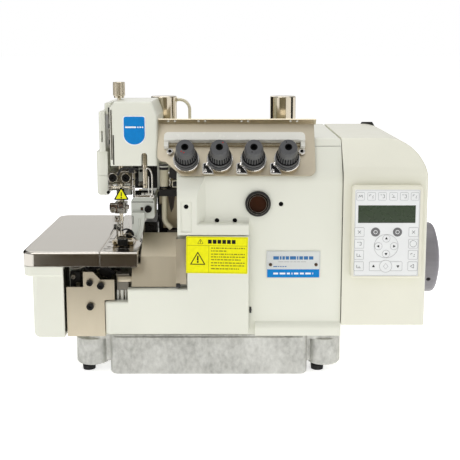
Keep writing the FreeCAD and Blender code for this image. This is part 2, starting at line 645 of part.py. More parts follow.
def slab(points, n0, n1):
    wire = Part.makePolygon([V(x, y, n0) for x, y in points + points[:1]])
    return Part.Face(wire).extrude(V(0, 0, n1 - n0))


def peg(radius, n0, n1, x, y):
    return Part.makeCylinder(radius, n1 - n0, V(x, y, n0), V(0, 0, 1))


KNOB_X = [KNOB_MID_X + KNOB_PITCH * (k - 1.5) for k in range(4)]
KNOB_V = 17.0


def tension_plate():
    face = slab([(-83.6, 17), (-75, 17), (-59, 2), (73, 2), (73, 60), (-83.6, 60)], 0, 1.5)
    corners = [e for e in face.Edges if e.Curve.TypeId == "Part::GeomLine"
               and abs(e.tangentAt(e.FirstParameter).z) > 0.99]
    low = [e for e in corners if e.CenterOfMass.y < 18 and (e.CenterOfMass.x > 70 or e.CenterOfMass.x < -80)]
    face = face.makeFillet(7, low)
    lip = [V(-83.6, 59, 0), V(-83.6, 60, 0), V(-83.6, 61.8, 7.4), V(-83.6, 60.4, 7.9), V(-83.6, 59, 1.5),
           V(-83.6, 59, 0)]
    flange = Part.Face(Part.makePolygon(lip)).extrude(V(158.5, 0, 0))
    spacers = [peg(5, -3, 0, x, y) for x in (-50, 60) for y in (10, 36)]
    plate = fuse(face, flange, *spacers)
    holes = []
    for x in (-73.3, -43, 0.1, 49.3):
        for step in (0, 6.5):
            hole = Part.makeCylinder(1.1, 6, V(x + step, 63.6, 4.0), V(0, -0.97, 0.23))
            holes.append(hole)
    return on_slope(cut(plate, *holes))


def thread_guide_bar():
    """White moulded bar across the top of the tensions, on two short legs."""
    bar = slab([(-76.6, 38.2), (62.8, 38.2), (62.8, 45), (-76.6, 45)], 5, 11)
    corners = [e for e in bar.Edges if abs(e.CenterOfMass.y - 45) < 0.1 and abs(e.CenterOfMass.z - 8) < 0.1]
    bar = bar.makeFillet(4, corners)
    lip = slab([(-76.6, 36), (62.8, 36), (62.8, 38.6), (-76.6, 38.6)], 5, 12)
    legs = [slab([(x, 30.5), (x + 4.3, 30.5), (x + 4.3, 40), (x, 40)], 1.5, 9) for x in (-76.6, 58.5)]
    return on_slope(fuse(bar, lip, *legs))


def thread_guides():
    """Drilled steel strip over the knobs and a small eyelet below each of the right three."""
    strip = slab([(-72, 33.5), (58, 33.5), (58, 39.5), (-72, 39.5)], 1.5, 4.4)
    strip = cut(strip, *[peg(1.1, 0, 6, x, 37.4) for x in (-68.8, -36.2, -3.0, 29.1)])
    made = [on_slope(strip)]
    for x in (-32.3, 0.7, 33.7):
        eye = slab([(x - 6, 1), (x + 5, 1), (x + 4, 5), (x - 2, 13), (x - 6, 13)], 6, 7.2)
        eye = eye.makeFillet(2, [e for e in eye.Edges if e.CenterOfMass.x < x - 5.9 and 6 < e.CenterOfMass.z < 7.1])
        eye = cut(fuse(eye, peg(1.6, 1.5, 6.5, x - 3.5, 10)), peg(1.4, 5, 8, x - 2.5, 4))
        made.append(on_slope(eye))
    return made


def tension_posts():
    """Post and three pressed discs of each tension, as separate solids."""
    made = []
    for x in KNOB_X:
        made.append(on_slope(peg(3, 1.5, 31, x, KNOB_V)))
        for n in (1.6, 3.4, 5.2):
            disc = Part.makeCone(10.5, 12.2, 1.2, V(x, KNOB_V, n), V(0, 0, 1))
            made.append(on_slope(disc.cut(peg(3 + RUN, n - 1, n + 3, x, KNOB_V))))
    return made


def tension_knob(x):
    bore = 3 + RUN
    outline = [(bore, 8), (11.8, 8), (11.8, 10.6), (10.2, 11), (10.2, 12), (11.4, 12.4), (11.4, 15),
               (9.9, 15.5), (9.9, 16.5), (10.3, 16.8), (9.0, 31), (8.4, 34), (7.8, 35), (bore, 35)]
    points = [V(x + r, KNOB_V, n) for r, n in outline]
    body = Part.Face(Part.makePolygon(points + points[:1])).revolve(V(x, KNOB_V, 0), V(0, 0, 1), 360)
    flutes = []
    for k in range(24):
        out = V(math.cos(math.radians(15 * k)), math.sin(math.radians(15 * k)), 0)
        flutes.append(Part.makeCylinder(0.8, 9.5, V(x, KNOB_V, 16) + out * 10.6, V(0, 0, 1) - out * 0.09))
    return on_slope(cut(body, Part.makeCompound(flutes)))


def pressure_screw():
    """Knurled screw on the head that sets the presser's force."""
    knob = rod_z(6.2, 276.5, 291, SCREW_X, 56)
    knob = knob.makeFillet(1.2, [e for e in knob.Edges if e.Closed])
    grooves = []
    for k in range(20):
        turn = math.radians(18 * k)
        grooves.append(rod_z(0.6, 275, 292, SCREW_X + 6.3 * math.cos(turn), 56 + 6.3 * math.sin(turn)))
    knob = knob.cut(Part.makeCompound(grooves))
    return fuse(knob, rod_z(5.2, 274.6, 277, SCREW_X, 56), rod_z(1.8, 249, 277, SCREW_X, 56))


# ---------------------------------------------------------------- fittings
CYLINDERS = [(-84.0, 105.0), (45.5, 105.0)]


def air_cylinders():
    made = []
    for x, d in CYLINDERS:
        barrel = rod_z(14, ARM_TOP, 274, x, d)
        barrel = barrel.makeFillet(1.2, [e for e in barrel.Edges if e.Closed and e.CenterOfMass.z > 270])
        port = rod_x(3, x + 12, x + 14.5, d, 270)
        made.append(fuse(barrel, port) if x < 0 else barrel)
    return made


def swept_tube(points, radius, bends):
    """Round tube along straight runs joined by tangent arcs of the given radii."""
    edges = []
    start = points[0]
    for k in range(1, len(points) - 1):
        corner = points[k]
        before, after = (points[k - 1] - corner).normalize(), (points[k + 1] - corner).normalize()
        half = before.getAngle(after) / 2
        reach = bends[k - 1] / math.tan(half)
        middle = (before + after).normalize() * (bends[k - 1] / math.sin(half) - bends[k - 1])
        p0, p1 = corner + before * reach, corner + after * reach
        edges.append(Part.LineSegment(start, p0).toShape())
        edges.append(Part.Arc(p0, corner + middle, p1).toShape())
        start = p1
    edges.append(Part.LineSegment(start, points[-1]).toShape())
    path = Part.Wire(edges)
    circle = Part.Wire(Part.makeCircle(radius, points[0], (points[1] - points[0])))
    return path.makePipeShell([circle], True, False)


def air_pipe():
    """Bent tube from the left cylinder's port down to its fitting on the top cover."""
    y = at(CYLINDERS[0][1])
    points = [V(-69.5, y, 270), V(-56, y, 270), V(-56, y, ARM_TOP + 4)]
    return swept_tube(points, 1.7, [11])


PIPE_X = -80.0
PIPE_D = 44.0


def suction_pipe():
    """Cream pipe that carries trimmings from the knives, with its stiff upper tube."""
    y = at(PIPE_D)
    pipe = swept_tube([V(PIPE_X, y, 183), V(PIPE_X, y, 147), V(PIPE_X + 7, y, 139.4)], 2.6, [10])
    return [rod_z(4.4, 183.2, 203, PIPE_X, PIPE_D), pipe]


def pipe_clips():
    clip = block(PIPE_X - 5, COLUMN_L, PIPE_D - 6, PIPE_D + 6, 174.5, 181.5)
    clip = clip.cut(rod_z(2.65, 170, 190, PIPE_X, PIPE_D))
    cap = rod_z(4.8, 203, 206.5, PIPE_X, PIPE_D)
    elbow = rounded(block(PIPE_X + 3, COLUMN_L, PIPE_D - 6, PIPE_D + 6, 127.5, 137.2), 2, along_x)
    fitting = rod_z(3.4, ARM_TOP, ARM_TOP + 4, -56, 105)
    bracket = prism_y([(-71, 208), (COLUMN_L - 0.2, 208), (COLUMN_L - 0.2, 196), (-72, 199)], 5.5, 12)
    return [clip, cap, elbow, fitting, bracket]


def sight_bezel():
    ring = rod_y(12.7, -0.8, SKIN, *WINDOW).cut(rod_y(9.4, -2, 5, *WINDOW))
    return ring.makeChamfer(1.0, [e for e in ring.Edges if e.Closed and e.CenterOfMass.y < at(-0.7)])


def sight_glass():
    return rod_y(9.35, 0.6, 6, *WINDOW)


def nameplate():
    return rounded(block(24.9, 78.9, 2.2, SKIN, 97, 125), 1, along_y)


def socket_screws():
    """Loose cap screws, as separate solids."""
    forward = (0, -1, 0)
    spots = [(3.6, -151.3, -4, 69.8), (3.2, -151.3, -4, 94.2), (3.6, -140.4, -4, 91.2),
             (4.0, -130.2, 28, 195.4), (4.0, -117.1, 28, 195.4)]
    screws = [socket_screw(r, 3.4, (x, at(d), z), forward) for r, x, d, z in spots]
    for x in (-32, 72):
        for z in (70, 190):
            screws.append(socket_screw(3, 2.5, (x, at(DEPTH + 2), z), (0, 1, 0)))
    for x in (-70.8, 59.7):
        screws.append(on_slope(socket_screw(3.3, 3.2, (x, 27, 1.5), (0, 0, 1))))
    return screws


def eye_guard():
    plate = rounded(block(-130, -114, 18, 19.5, 143, GUARD_Z), 3, lambda p, t: abs(t.y) > 0.99 and p.z < 144)
    hub = rod_x(2.8, -130, -114, GUARD_D, GUARD_Z)
    neck = block(-130, -114, 18, GUARD_D, GUARD_Z - 2.4, GUARD_Z)
    return fuse(plate, hub, neck).cut(rod_x(1.5 + RUN, -132, -112, GUARD_D, GUARD_Z))


# ---------------------------------------------------------------- front cover
def front_cover():
    """Looper cover: a shallow stepped shell, open at the bottom and the back."""
    face, back, low = -8.0, 1.5, COVER_LOW
    left, right = -136.6, 7.2
    outline = [(left, low), (right, low), (right, COVER_HIGH), (-54, COVER_HIGH), (-54, 88), (-113.6, 88),
               (-113.6, 75), (left, 75)]
    outer = prism_y(outline, face, back)
    outer = rounded(outer, 6, lambda p, t: abs(t.z) > 0.99 and p.x < left + 1 and p.y < face + 1)
    outer = rounded(outer, 2, lambda p, t: p.y < face + 0.1 and abs(t.y) < 0.1 and p.z > low + 0.5
                    and not (abs(t.z) > 0.99 and p.x < left + 7))
    core = [(left + 3, low - 1), (right - 3, low - 1), (right - 3, COVER_HIGH - 3), (-51, COVER_HIGH - 3),
            (-51, 85), (-110.6, 85), (-110.6, 72), (left + 3, 72)]
    shell = outer.cut(prism_y(core, face + 3, back + 1))
    ears = []
    for x in (-125.0, -22.0):
        ears.append(rod_x(HINGE_LUG, x, x + 7, HINGE_D, HINGE_Z))
        ears.append(block(x, x + 7, face + 2, HINGE_D, HINGE_Z - 2, HINGE_Z + 2))
    catch = block(-20, -12, face + 2, 1, 128, 134)
    return fuse(shell, catch, *ears).cut(rod_x(1.8 + RUN, -140, 4, HINGE_D, HINGE_Z))


def cover_hinge_rod():
    return rod_x(1.8, -131, 2, HINGE_D, HINGE_Z)


# ---------------------------------------------------------------- write every node
NODES = {
    "oil_pan": oil_pan, "rubber_feet": rubber_feet, "main_frame": main_frame, "top_cover": top_cover,
    "rear_cover": rear_cover, "side_casing": side_casing, "side_plate": side_plate,
    "cloth_plate": cloth_plate, "bed_plate": bed_plate, "needle_plate": needle_plate,
    "lower_knife": lower_knife, "lower_knife_holder": lower_knife_holder, "chip_chute": chip_chute,
    "feed_dog": feed_dog, "head_frame": head_frame, "head_cover": head_cover,
    "head_side_cover": head_side_cover, "needle_guard_box": needle_guard_box,
    "needle_bar_guide": needle_bar_guide, "pivot_pins": pivot_pins, "needle_bar": needle_bar,
    "needle_clamp": needle_clamp, "needles": needles, "take_up_rod": take_up_rod,
    "presser_arm": presser_arm, "presser_foot": presser_foot, "knife_arm": knife_arm,
    "upper_knife": upper_knife, "lower_looper": lower_looper, "upper_looper": upper_looper,
    "main_shaft": main_shaft, "shaft_bearings": shaft_bearings, "motor_stator": motor_stator,
    "motor_rotor": motor_rotor, "motor_cover": motor_cover, "handwheel": handwheel,
    "cable_gland": cable_gland, "control_panel": control_panel, "keypad_membrane": keypad_membrane,
    "lcd_window": lcd_window, "tension_plate": tension_plate, "thread_guide_bar": thread_guide_bar,
    "thread_guides": thread_guides, "tension_posts": tension_posts, "pressure_screw": pressure_screw,
    "air_cylinders": air_cylinders, "air_pipe": air_pipe, "suction_pipe": suction_pipe,
    "pipe_clips": pipe_clips, "sight_bezel": sight_bezel, "sight_glass": sight_glass,
    "nameplate": nameplate, "socket_screws": socket_screws, "eye_guard": eye_guard,
    "front_cover": front_cover, "cover_hinge_rod": cover_hinge_rod,
}
for number, knob_x in enumerate(KNOB_X, 1):
    NODES[f"tension_knob_{number}"] = lambda x=knob_x: tension_knob(x)


def solids_of(made):
    if isinstance(made, list):
        return [s for shape in made for s in shape.Solids]
    return made.Solids


def main():
    os.makedirs("parts", exist_ok=True)
    box = FreeCAD.BoundBox()
    for name, make in NODES.items():
        solids = solids_of(make())
        bad = [s for s in solids if not s.isValid()]
        shape = solids[0] if len(solids) == 1 else Part.makeCompound(solids)
        shape.translate(TO_ORIGIN)
        shape.exportStep(f"parts/{name}.step")
        box.add(shape.BoundBox)
        if bad or len(solids) == 0:
            print("BAD", name, len(solids))
        print(f"{name}: {len(solids)} solid(s), {shape.Volume / 1000:.1f} cm3")
    print("box", *(f"{value:.2f}" for value in (box.XMin, box.XMax, box.YMin, box.YMax, box.ZMin, box.ZMax)))


main()
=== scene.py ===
import bpy
import bmesh
import json
import math
import random
from mathutils import Matrix, Vector


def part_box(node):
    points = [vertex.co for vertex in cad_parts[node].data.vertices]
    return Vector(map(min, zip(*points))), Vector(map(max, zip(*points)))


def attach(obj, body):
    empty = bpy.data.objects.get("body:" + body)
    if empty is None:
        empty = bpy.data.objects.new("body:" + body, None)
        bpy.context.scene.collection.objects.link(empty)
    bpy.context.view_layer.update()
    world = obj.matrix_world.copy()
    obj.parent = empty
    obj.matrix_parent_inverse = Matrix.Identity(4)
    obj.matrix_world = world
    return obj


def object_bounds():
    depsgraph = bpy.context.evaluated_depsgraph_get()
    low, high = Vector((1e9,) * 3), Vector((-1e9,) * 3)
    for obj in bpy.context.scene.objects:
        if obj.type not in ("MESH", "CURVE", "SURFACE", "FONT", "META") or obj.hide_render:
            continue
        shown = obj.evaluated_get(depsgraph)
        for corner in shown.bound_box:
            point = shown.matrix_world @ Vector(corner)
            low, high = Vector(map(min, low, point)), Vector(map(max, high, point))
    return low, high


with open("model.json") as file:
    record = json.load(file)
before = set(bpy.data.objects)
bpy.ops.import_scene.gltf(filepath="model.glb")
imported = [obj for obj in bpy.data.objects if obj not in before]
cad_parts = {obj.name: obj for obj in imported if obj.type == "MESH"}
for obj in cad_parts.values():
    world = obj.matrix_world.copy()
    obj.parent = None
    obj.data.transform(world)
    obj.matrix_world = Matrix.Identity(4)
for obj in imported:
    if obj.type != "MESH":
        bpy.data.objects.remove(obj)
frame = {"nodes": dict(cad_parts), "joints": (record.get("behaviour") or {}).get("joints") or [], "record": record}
cad_low, cad_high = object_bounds()
scene = bpy.context.scene

MM = 0.001
TURN = 2 * math.pi
TO_FRONT = (0, -1, 0)       # towards the operator
UPWARD = (0, 0, 1)
UNDER = -0.05               # mm that print reaches into its carrier, so that no gap shows
SMOOTH_DEGREES = 40         # edges sharper than this stay sharp
CORNER_STEPS = 5            # points along a rounded corner
TRIANGLE_REACH = 0.5774     # centre to corner of a triangle with sides of 1
SOFT_EDGE = 0.0003          # metres, on most plastic and sheet parts
DRIFT_RANGE = (0.35, 0.65)  # the part of the noise that drives colour
GLOSS_RANGE = (0.3, 0.7)    # the part of the noise that drives roughness

# Camera, in metres and degrees; a pitch of 90 looks level.
LENS_MM, SENSOR_MM = 68.8, 36.0
SHIFT_X, SHIFT_Y = -0.0145, -0.0896
EYE = (-0.0023, -0.9477, 0.3283)
PITCH = 81

# Studio. The floor glows and the world is lifted, so that the ground reads as white.
WORLD_LIGHT, FLOOR_GLOW, BACK_GLOW = 0.54, 0.57, 0.74
FLOOR_HALF = 40.0
LAMPS = (  # name, place from the machine's middle, size in metres, power in watts
    ("key", (-0.9, -1.5, 1.5), 1.1, 8),
    ("fill", (1.4, -1.3, 0.9), 1.2, 4.2),
    ("top", (0.1, 0.2, 1.8), 1.4, 11),
    ("rim", (-0.6, 1.6, 1.2), 1.0, 6),
)
FLAGS = (  # first and last degree round the machine, distance, height, tone
    (-146, -98, 0.75, 0.6, 0.08),
    (-32, 28, 0.95, 0.5, 0.50),
    (76, 100, 0.75, 0.6, 0.08),
)
FLAG_STEPS = 8

# Marks on each knob's end: ink (1 red, 2 black), angle in degrees, distance from the axle in mm.
KNOB_MARKS = (
    ((1, 235, 5.6), (1, 262, 6.0)),
    ((1, 55, 5.8),),
    ((2, 250, 5.6),),
    ((2, 110, 5.6),),
)


# ---------------------------------------------------------------- node helpers
def linear(colour):
    """Scene-linear value of a colour given as seen on a screen."""
    return tuple(c / 12.92 if c <= 0.04045 else ((c + 0.055) / 1.055) ** 2.4 for c in colour)


def shade(colour, factor):
    return tuple(min(1.0, c * factor) for c in colour)


class Finish:
    """One procedural material: colour drift, fine grain, uneven gloss and rounded edges."""

    def __init__(self, name, metallic=0.0, coat=0.0, coat_roughness=0.1, specular=0.5):
        self.material = bpy.data.materials.new(name)
        self.material.use_nodes = True
        self.tree = self.material.node_tree
        self.tree.nodes.clear()
        self.out = self.node("OutputMaterial")
        self.bsdf = self.node("BsdfPrincipled")
        self.link(self.bsdf, "BSDF", self.out, "Surface")
        self.bsdf.inputs["Metallic"].default_value = metallic
        self.bsdf.inputs["Coat Weight"].default_value = coat
        self.bsdf.inputs["Coat Roughness"].default_value = coat_roughness
        self.bsdf.inputs["Specular IOR Level"].default_value = specular
        self.coords = self.node("TexCoord")

    def node(self, kind, **values):
        made = self.tree.nodes.new("ShaderNode" + kind)
        for key, value in values.items():
            setattr(made, key, value)
        return made

    def link(self, a, out, b, into):
        self.tree.links.new(a.outputs[out], b.inputs[into])

    def noise(self, per_metre, stretch=(1, 1, 1), detail=3.0, roughness=0.5):
        place = self.node("Mapping")
        place.inputs["Scale"].default_value = stretch
        self.link(self.coords, "Object", place, "Vector")
        grain = self.node("TexNoise")
        grain.inputs["Scale"].default_value = per_metre
        grain.inputs["Detail"].default_value = detail
        grain.inputs["Roughness"].default_value = roughness
        self.link(place, "Vector", grain, "Vector")
        return grain

    def drift(self, colour, amount, per_metre, stretch=(1, 1, 1)):
        """Colour that drifts between a darker and a lighter tone."""
        base = linear(colour)
        ramp = self.node("ValToRGB")
        for end, where, factor in zip(ramp.color_ramp.elements, DRIFT_RANGE, (1 - amount, 1 + amount * 0.5)):
            end.position = where
            end.color = (*shade(base, factor), 1)
        self.link(self.noise(per_metre, stretch), "Fac", ramp, "Fac")
        self.link(ramp, "Color", self.bsdf, "Base Color")

    def gloss(self, low, high, per_metre, stretch=(1, 1, 1)):
        spread = self.node("MapRange")
        spread.inputs["From Min"].default_value = GLOSS_RANGE[0]
        spread.inputs["From Max"].default_value = GLOSS_RANGE[1]
        spread.inputs["To Min"].default_value = low
        spread.inputs["To Max"].default_value = high
        self.link(self.noise(per_metre, stretch), "Fac", spread, "Value")
        self.link(spread, "Result", self.bsdf, "Roughness")

    def grain(self, per_metre, height, strength=1.0, stretch=(1, 1, 1), edge=0.0, detail=2.0, under=None):
        """Bump of real height in metres, over edges softened by a small radius."""
        bump = self.node("Bump")
        bump.inputs["Strength"].default_value = strength
        bump.inputs["Distance"].default_value = height
        self.link(self.noise(per_metre, stretch, detail), "Fac", bump, "Height")
        if under:
            self.link(under, "Normal", bump, "Normal")
        elif edge:
            soft = self.node("Bevel", samples=4)
            soft.inputs["Radius"].default_value = edge
            self.link(soft, "Normal", bump, "Normal")
        self.link(bump, "Normal", self.bsdf, "Normal")
        return bump


# ---------------------------------------------------------------- materials
CREAM = (0.90, 0.902, 0.848)
MOTOR_CREAM = (0.905, 0.90, 0.835)


def paint(name, colour, edge=0.0006):
    """Thick satin machine enamel with a slight orange peel."""
    f = Finish(name, coat=0.35, coat_roughness=0.22)
    f.drift(colour, 0.035, 9)
    f.gloss(0.30, 0.42, 60)
    peel = f.grain(420, 0.00012, 0.35, edge=edge)
    f.grain(2600, 0.00003, 0.25, under=peel)
    return f.material


def cast_aluminium():
    f = Finish("cast_aluminium", metallic=0.62, specular=0.4)
    blotch = f.noise(30, (1, 1, 0.8), 6, 0.62)
    fine = f.noise(230, (1, 1, 0.7), 5, 0.6)
    both = f.node("Math", operation="MULTIPLY_ADD")
    both.inputs[1].default_value = 0.45
    f.link(fine, "Fac", both, 0)
    scaled = f.node("Math", operation="MULTIPLY")
    scaled.inputs[1].default_value = 0.55
    f.link(blotch, "Fac", scaled, 0)
    f.link(scaled, "Value", both, 2)
    ramp = f.node("ValToRGB")
    ramp.color_ramp.elements[0].position = 0.36
    ramp.color_ramp.elements[0].color = (*linear((0.66, 0.66, 0.64)), 1)
    ramp.color_ramp.elements[1].position = 0.66
    ramp.color_ramp.elements[1].color = (*linear((0.85, 0.85, 0.83)), 1)
    middle = ramp.color_ramp.elements.new(0.5)
    middle.color = (*linear((0.77, 0.77, 0.75)), 1)
    f.link(both, "Value", ramp, "Fac")
    f.link(ramp, "Color", f.bsdf, "Base Color")
    f.gloss(0.42, 0.62, 90)
    coarse = f.grain(150, 0.0006, 0.55, edge=0.0009, detail=5)
    f.grain(900, 0.0002, 0.5, under=coarse)
    return f.material


def rubber():
    f = Finish("foot_rubber", specular=0.35)
    f.drift((0.13, 0.13, 0.13), 0.25, 120)
    f.gloss(0.62, 0.85, 200)
    f.grain(1800, 0.00008, 0.6, edge=0.0004)
    return f.material


def sheet_metal(name, colour, low, high, along=(1, 1, 1), tone=0.06, height=0.00002, metallic=1.0,
                strength=0.5):
    """Rolled or ground metal with its grain drawn out along one direction."""
    f = Finish(name, metallic=metallic)
    f.drift(colour, tone, 38, along)
    f.gloss(low, high, 260, along)
    f.grain(1500, height, strength, along, edge=SOFT_EDGE)
    return f.material


def plastic(name, colour, low, high, tone=0.06, grain=900, height=0.00004, coat=0.0):
    f = Finish(name, coat=coat, coat_roughness=0.08)
    f.drift(colour, tone, 45)
    f.gloss(low, high, 180)
    f.grain(grain, height, 0.4, edge=SOFT_EDGE)
    return f.material


def wheel_plastic():
    """Dark moulded wheel whose rim carries fine lines along its axle."""
    f = Finish("wheel_plastic")
    f.drift((0.52, 0.51, 0.53), 0.05, 300, (0.06, 1, 1))
    f.gloss(0.36, 0.46, 240, (0.1, 1, 1))
    f.grain(900, 0.00006, 0.45, (0.05, 1, 1), edge=0.0008)
    return f.material


def glassy(name, colour, transmission, roughness, ior=1.5, tone=0.05):
    f = Finish(name, specular=0.5)
    f.bsdf.inputs["Transmission Weight"].default_value = transmission
    f.bsdf.inputs["IOR"].default_value = ior
    f.drift(colour, tone, 70)
    f.gloss(roughness, roughness + 0.03, 160)
    f.grain(500, 0.000004, 0.15)
    return f.material


def display():
    """Green-black display behind clear glass, with faint rows of cells."""
    f = Finish("display_glass", coat=0.3, coat_roughness=0.05)
    f.drift((0.185, 0.245, 0.16), 0.10, 160, (0.3, 1, 1.6))
    f.gloss(0.22, 0.34, 120)
    f.grain(1200, 0.00001, 0.3)
    return f.material


def printed(name, colour, roughness=0.55):
    """Ink or film, slightly uneven in density."""
    f = Finish(name, specular=0.2)
    f.drift(colour, 0.05, 260)
    f.gloss(roughness - 0.06, roughness + 0.06, 400)
    f.grain(2400, 0.00001, 0.3)
    return f.material


M = {
    "cream_paint": paint("cream_paint", CREAM),
    "motor_paint": paint("motor_paint", MOTOR_CREAM),
    "cast_aluminium": cast_aluminium(),
    "foot_rubber": rubber(),
    "satin_casting": paint("satin_casting", (0.80, 0.81, 0.77), 0.0009),
    "nickel_sheet": sheet_metal("nickel_sheet", (0.82, 0.78, 0.695), 0.36, 0.44, (1, 1, 0.3), tone=0.02),
    "table_steel": sheet_metal("table_steel", (0.805, 0.785, 0.75), 0.16, 0.18, (0.3, 1, 1), tone=0.01,
                               height=0.000002, strength=0.15),
    "polished_steel": sheet_metal("polished_steel", (0.86, 0.82, 0.74), 0.06, 0.12, (1, 1, 0.3), tone=0.02),
    "machined_steel": sheet_metal("machined_steel", (0.60, 0.58, 0.54), 0.24, 0.38, (0.2, 1, 1)),
    "dark_steel": sheet_metal("dark_steel", (0.12, 0.118, 0.115), 0.26, 0.42, (1, 1, 1), metallic=0.6),
    "knob_plastic": plastic("knob_plastic", (0.30, 0.30, 0.305), 0.38, 0.5),
    "wheel_plastic": wheel_plastic(),
    "white_plastic": plastic("white_plastic", (0.91, 0.905, 0.87), 0.24, 0.28, 0.01, coat=0.3),
    "panel_plastic": plastic("panel_plastic", (0.90, 0.89, 0.82), 0.32, 0.44, 0.03),
    "membrane_film": plastic("membrane_film", (0.915, 0.92, 0.915), 0.34, 0.46, 0.02, 1400, 0.00001),
    "display_glass": display(),
    "clear_plastic": glassy("clear_plastic", (0.985, 0.99, 0.99), 1.0, 0.0, 1.12, 0.01),
    "pipe_plastic": plastic("pipe_plastic", (0.87, 0.84, 0.74), 0.3, 0.42, 0.04),
    "black_plastic": plastic("black_plastic", (0.115, 0.11, 0.11), 0.34, 0.5, 0.2),
    "brown_glass": glassy("brown_glass", (0.20, 0.11, 0.07), 0.1, 0.05, 1.25, 0.35),
    "plate_print": sheet_metal("plate_print", (0.865, 0.875, 0.865), 0.3, 0.4, (0.2, 1, 1), metallic=0.35),
    "motor_steel": sheet_metal("motor_steel", (0.62, 0.61, 0.60), 0.3, 0.45, (0.2, 1, 1)),
}
# Brown-grey duct tone, partly painted shade for the hollow behind the pipe.
DUCT_SHADE = plastic("duct_shade_plastic", (0.34, 0.30, 0.27), 0.4, 0.55, 0.1)
CHROME = sheet_metal("chrome", (0.93, 0.92, 0.90), 0.04, 0.09, tone=0.02, height=0.000004)
BRASS = sheet_metal("brass", (0.39, 0.325, 0.275), 0.22, 0.36, tone=0.1)
INK = {name: printed("ink_" + name, colour) for name, colour in (
    ("yellow", (0.935, 0.92, 0.02)),
    ("black", (0.10, 0.10, 0.10)),
    ("grey", (0.45, 0.45, 0.45)),
    ("pale_grey", (0.70, 0.70, 0.70)),
    ("blue", (0.0, 0.50, 0.79)),
    ("steel_blue", (0.24, 0.45, 0.66)),
    ("white", (0.96, 0.96, 0.96)),
    ("red", (0.72, 0.10, 0.09)),
    ("olive", (0.56, 0.54, 0.09)),
)}
# Near-black matt ink that is painted shade, for wells, grooves, slots and holes where shade falls.
INK["well"] = printed("ink_well", (0.03, 0.03, 0.03), 0.9)


def dress_cad():
    """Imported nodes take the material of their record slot; only the needle plate takes the table's."""
    for part in frame["record"]["subparts"]:
        node = frame["nodes"][part["node"]]
        look = "table_steel" if part["node"] == "needle_plate" else part["material_slot"]
        node.data.materials.clear()
        node.data.materials.append(M[look])


# ---------------------------------------------------------------- mesh helpers
def finish_mesh(name, bm, materials, body):
    """Turns a bmesh into a piece that rides on a body."""
    mesh = bpy.data.meshes.new(name)
    bmesh.ops.recalc_face_normals(bm, faces=bm.faces)
    bm.to_mesh(mesh)
    bm.free()
    for m in materials:
        mesh.materials.append(m)
    for p in mesh.polygons:
        p.use_smooth = True
    mesh.set_sharp_from_angle(angle=math.radians(SMOOTH_DEGREES))
    piece = bpy.data.objects.new(name, mesh)
    scene.collection.objects.link(piece)
    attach(piece, body)


def front_plane(x, y, z, tilt=0.0):
    """Sheet coordinates: u to the right, v up, w out of a face that looks towards the operator."""
    facing = Matrix(((1, 0, 0, 0), (0, 0, -1, 0), (0, 1, 0, 0), (0, 0, 0, 1)))
    return Matrix.Translation((x, y, z)) @ facing @ Matrix.Rotation(tilt, 4, "Z")


def rect(x0, y0, x1, y1):
    return [(x0, y0), (x1, y0), (x1, y1), (x0, y1)]


def rounded_rect(x0, y0, x1, y1, r):
    loop = []
    corners = ((x1 - r, y1 - r), (x0 + r, y1 - r), (x0 + r, y0 + r), (x1 - r, y0 + r))
    for quarter, (cx, cy) in enumerate(corners):
        for k in range(CORNER_STEPS + 1):
            a = math.radians(90 * quarter + 90 * k / CORNER_STEPS)
            loop.append((cx + r * math.cos(a), cy + r * math.sin(a)))
    return loop


def disc(cx, cy, r, steps=28):
    return [(cx + r * math.cos(TURN * k / steps), cy + r * math.sin(TURN * k / steps)) for k in range(steps)]


def triangle(cx, cy, side, r=0.4, turn=0):
    """Equilateral triangle with rounded corners, point up unless turned."""
    loop = []
    for k in range(3):
        a = math.radians(90 + 120 * k + turn)
        tip = (cx + side * TRIANGLE_REACH * math.cos(a), cy + side * TRIANGLE_REACH * math.sin(a))
        inner = (tip[0] - 2 * r * math.cos(a), tip[1] - 2 * r * math.sin(a))
        for s in range(-2, 3):
            b = a + math.radians(30 * s)
            loop.append((inner[0] + r * math.cos(b), inner[1] + r * math.sin(b)))
    return loop


def inset(loop, amount):
    """The loop moved inwards by an amount, vertex by vertex (for convex loops)."""
    made = []
    n = len(loop)
    for k in range(n):
        p = Vector(loop[k])
        before, after = Vector(loop[k - 1]), Vector(loop[(k + 1) % n])
        along = (after - before).normalized()
        made.append(tuple(p + Vector((-along.y, along.x)) * amount))
    return made


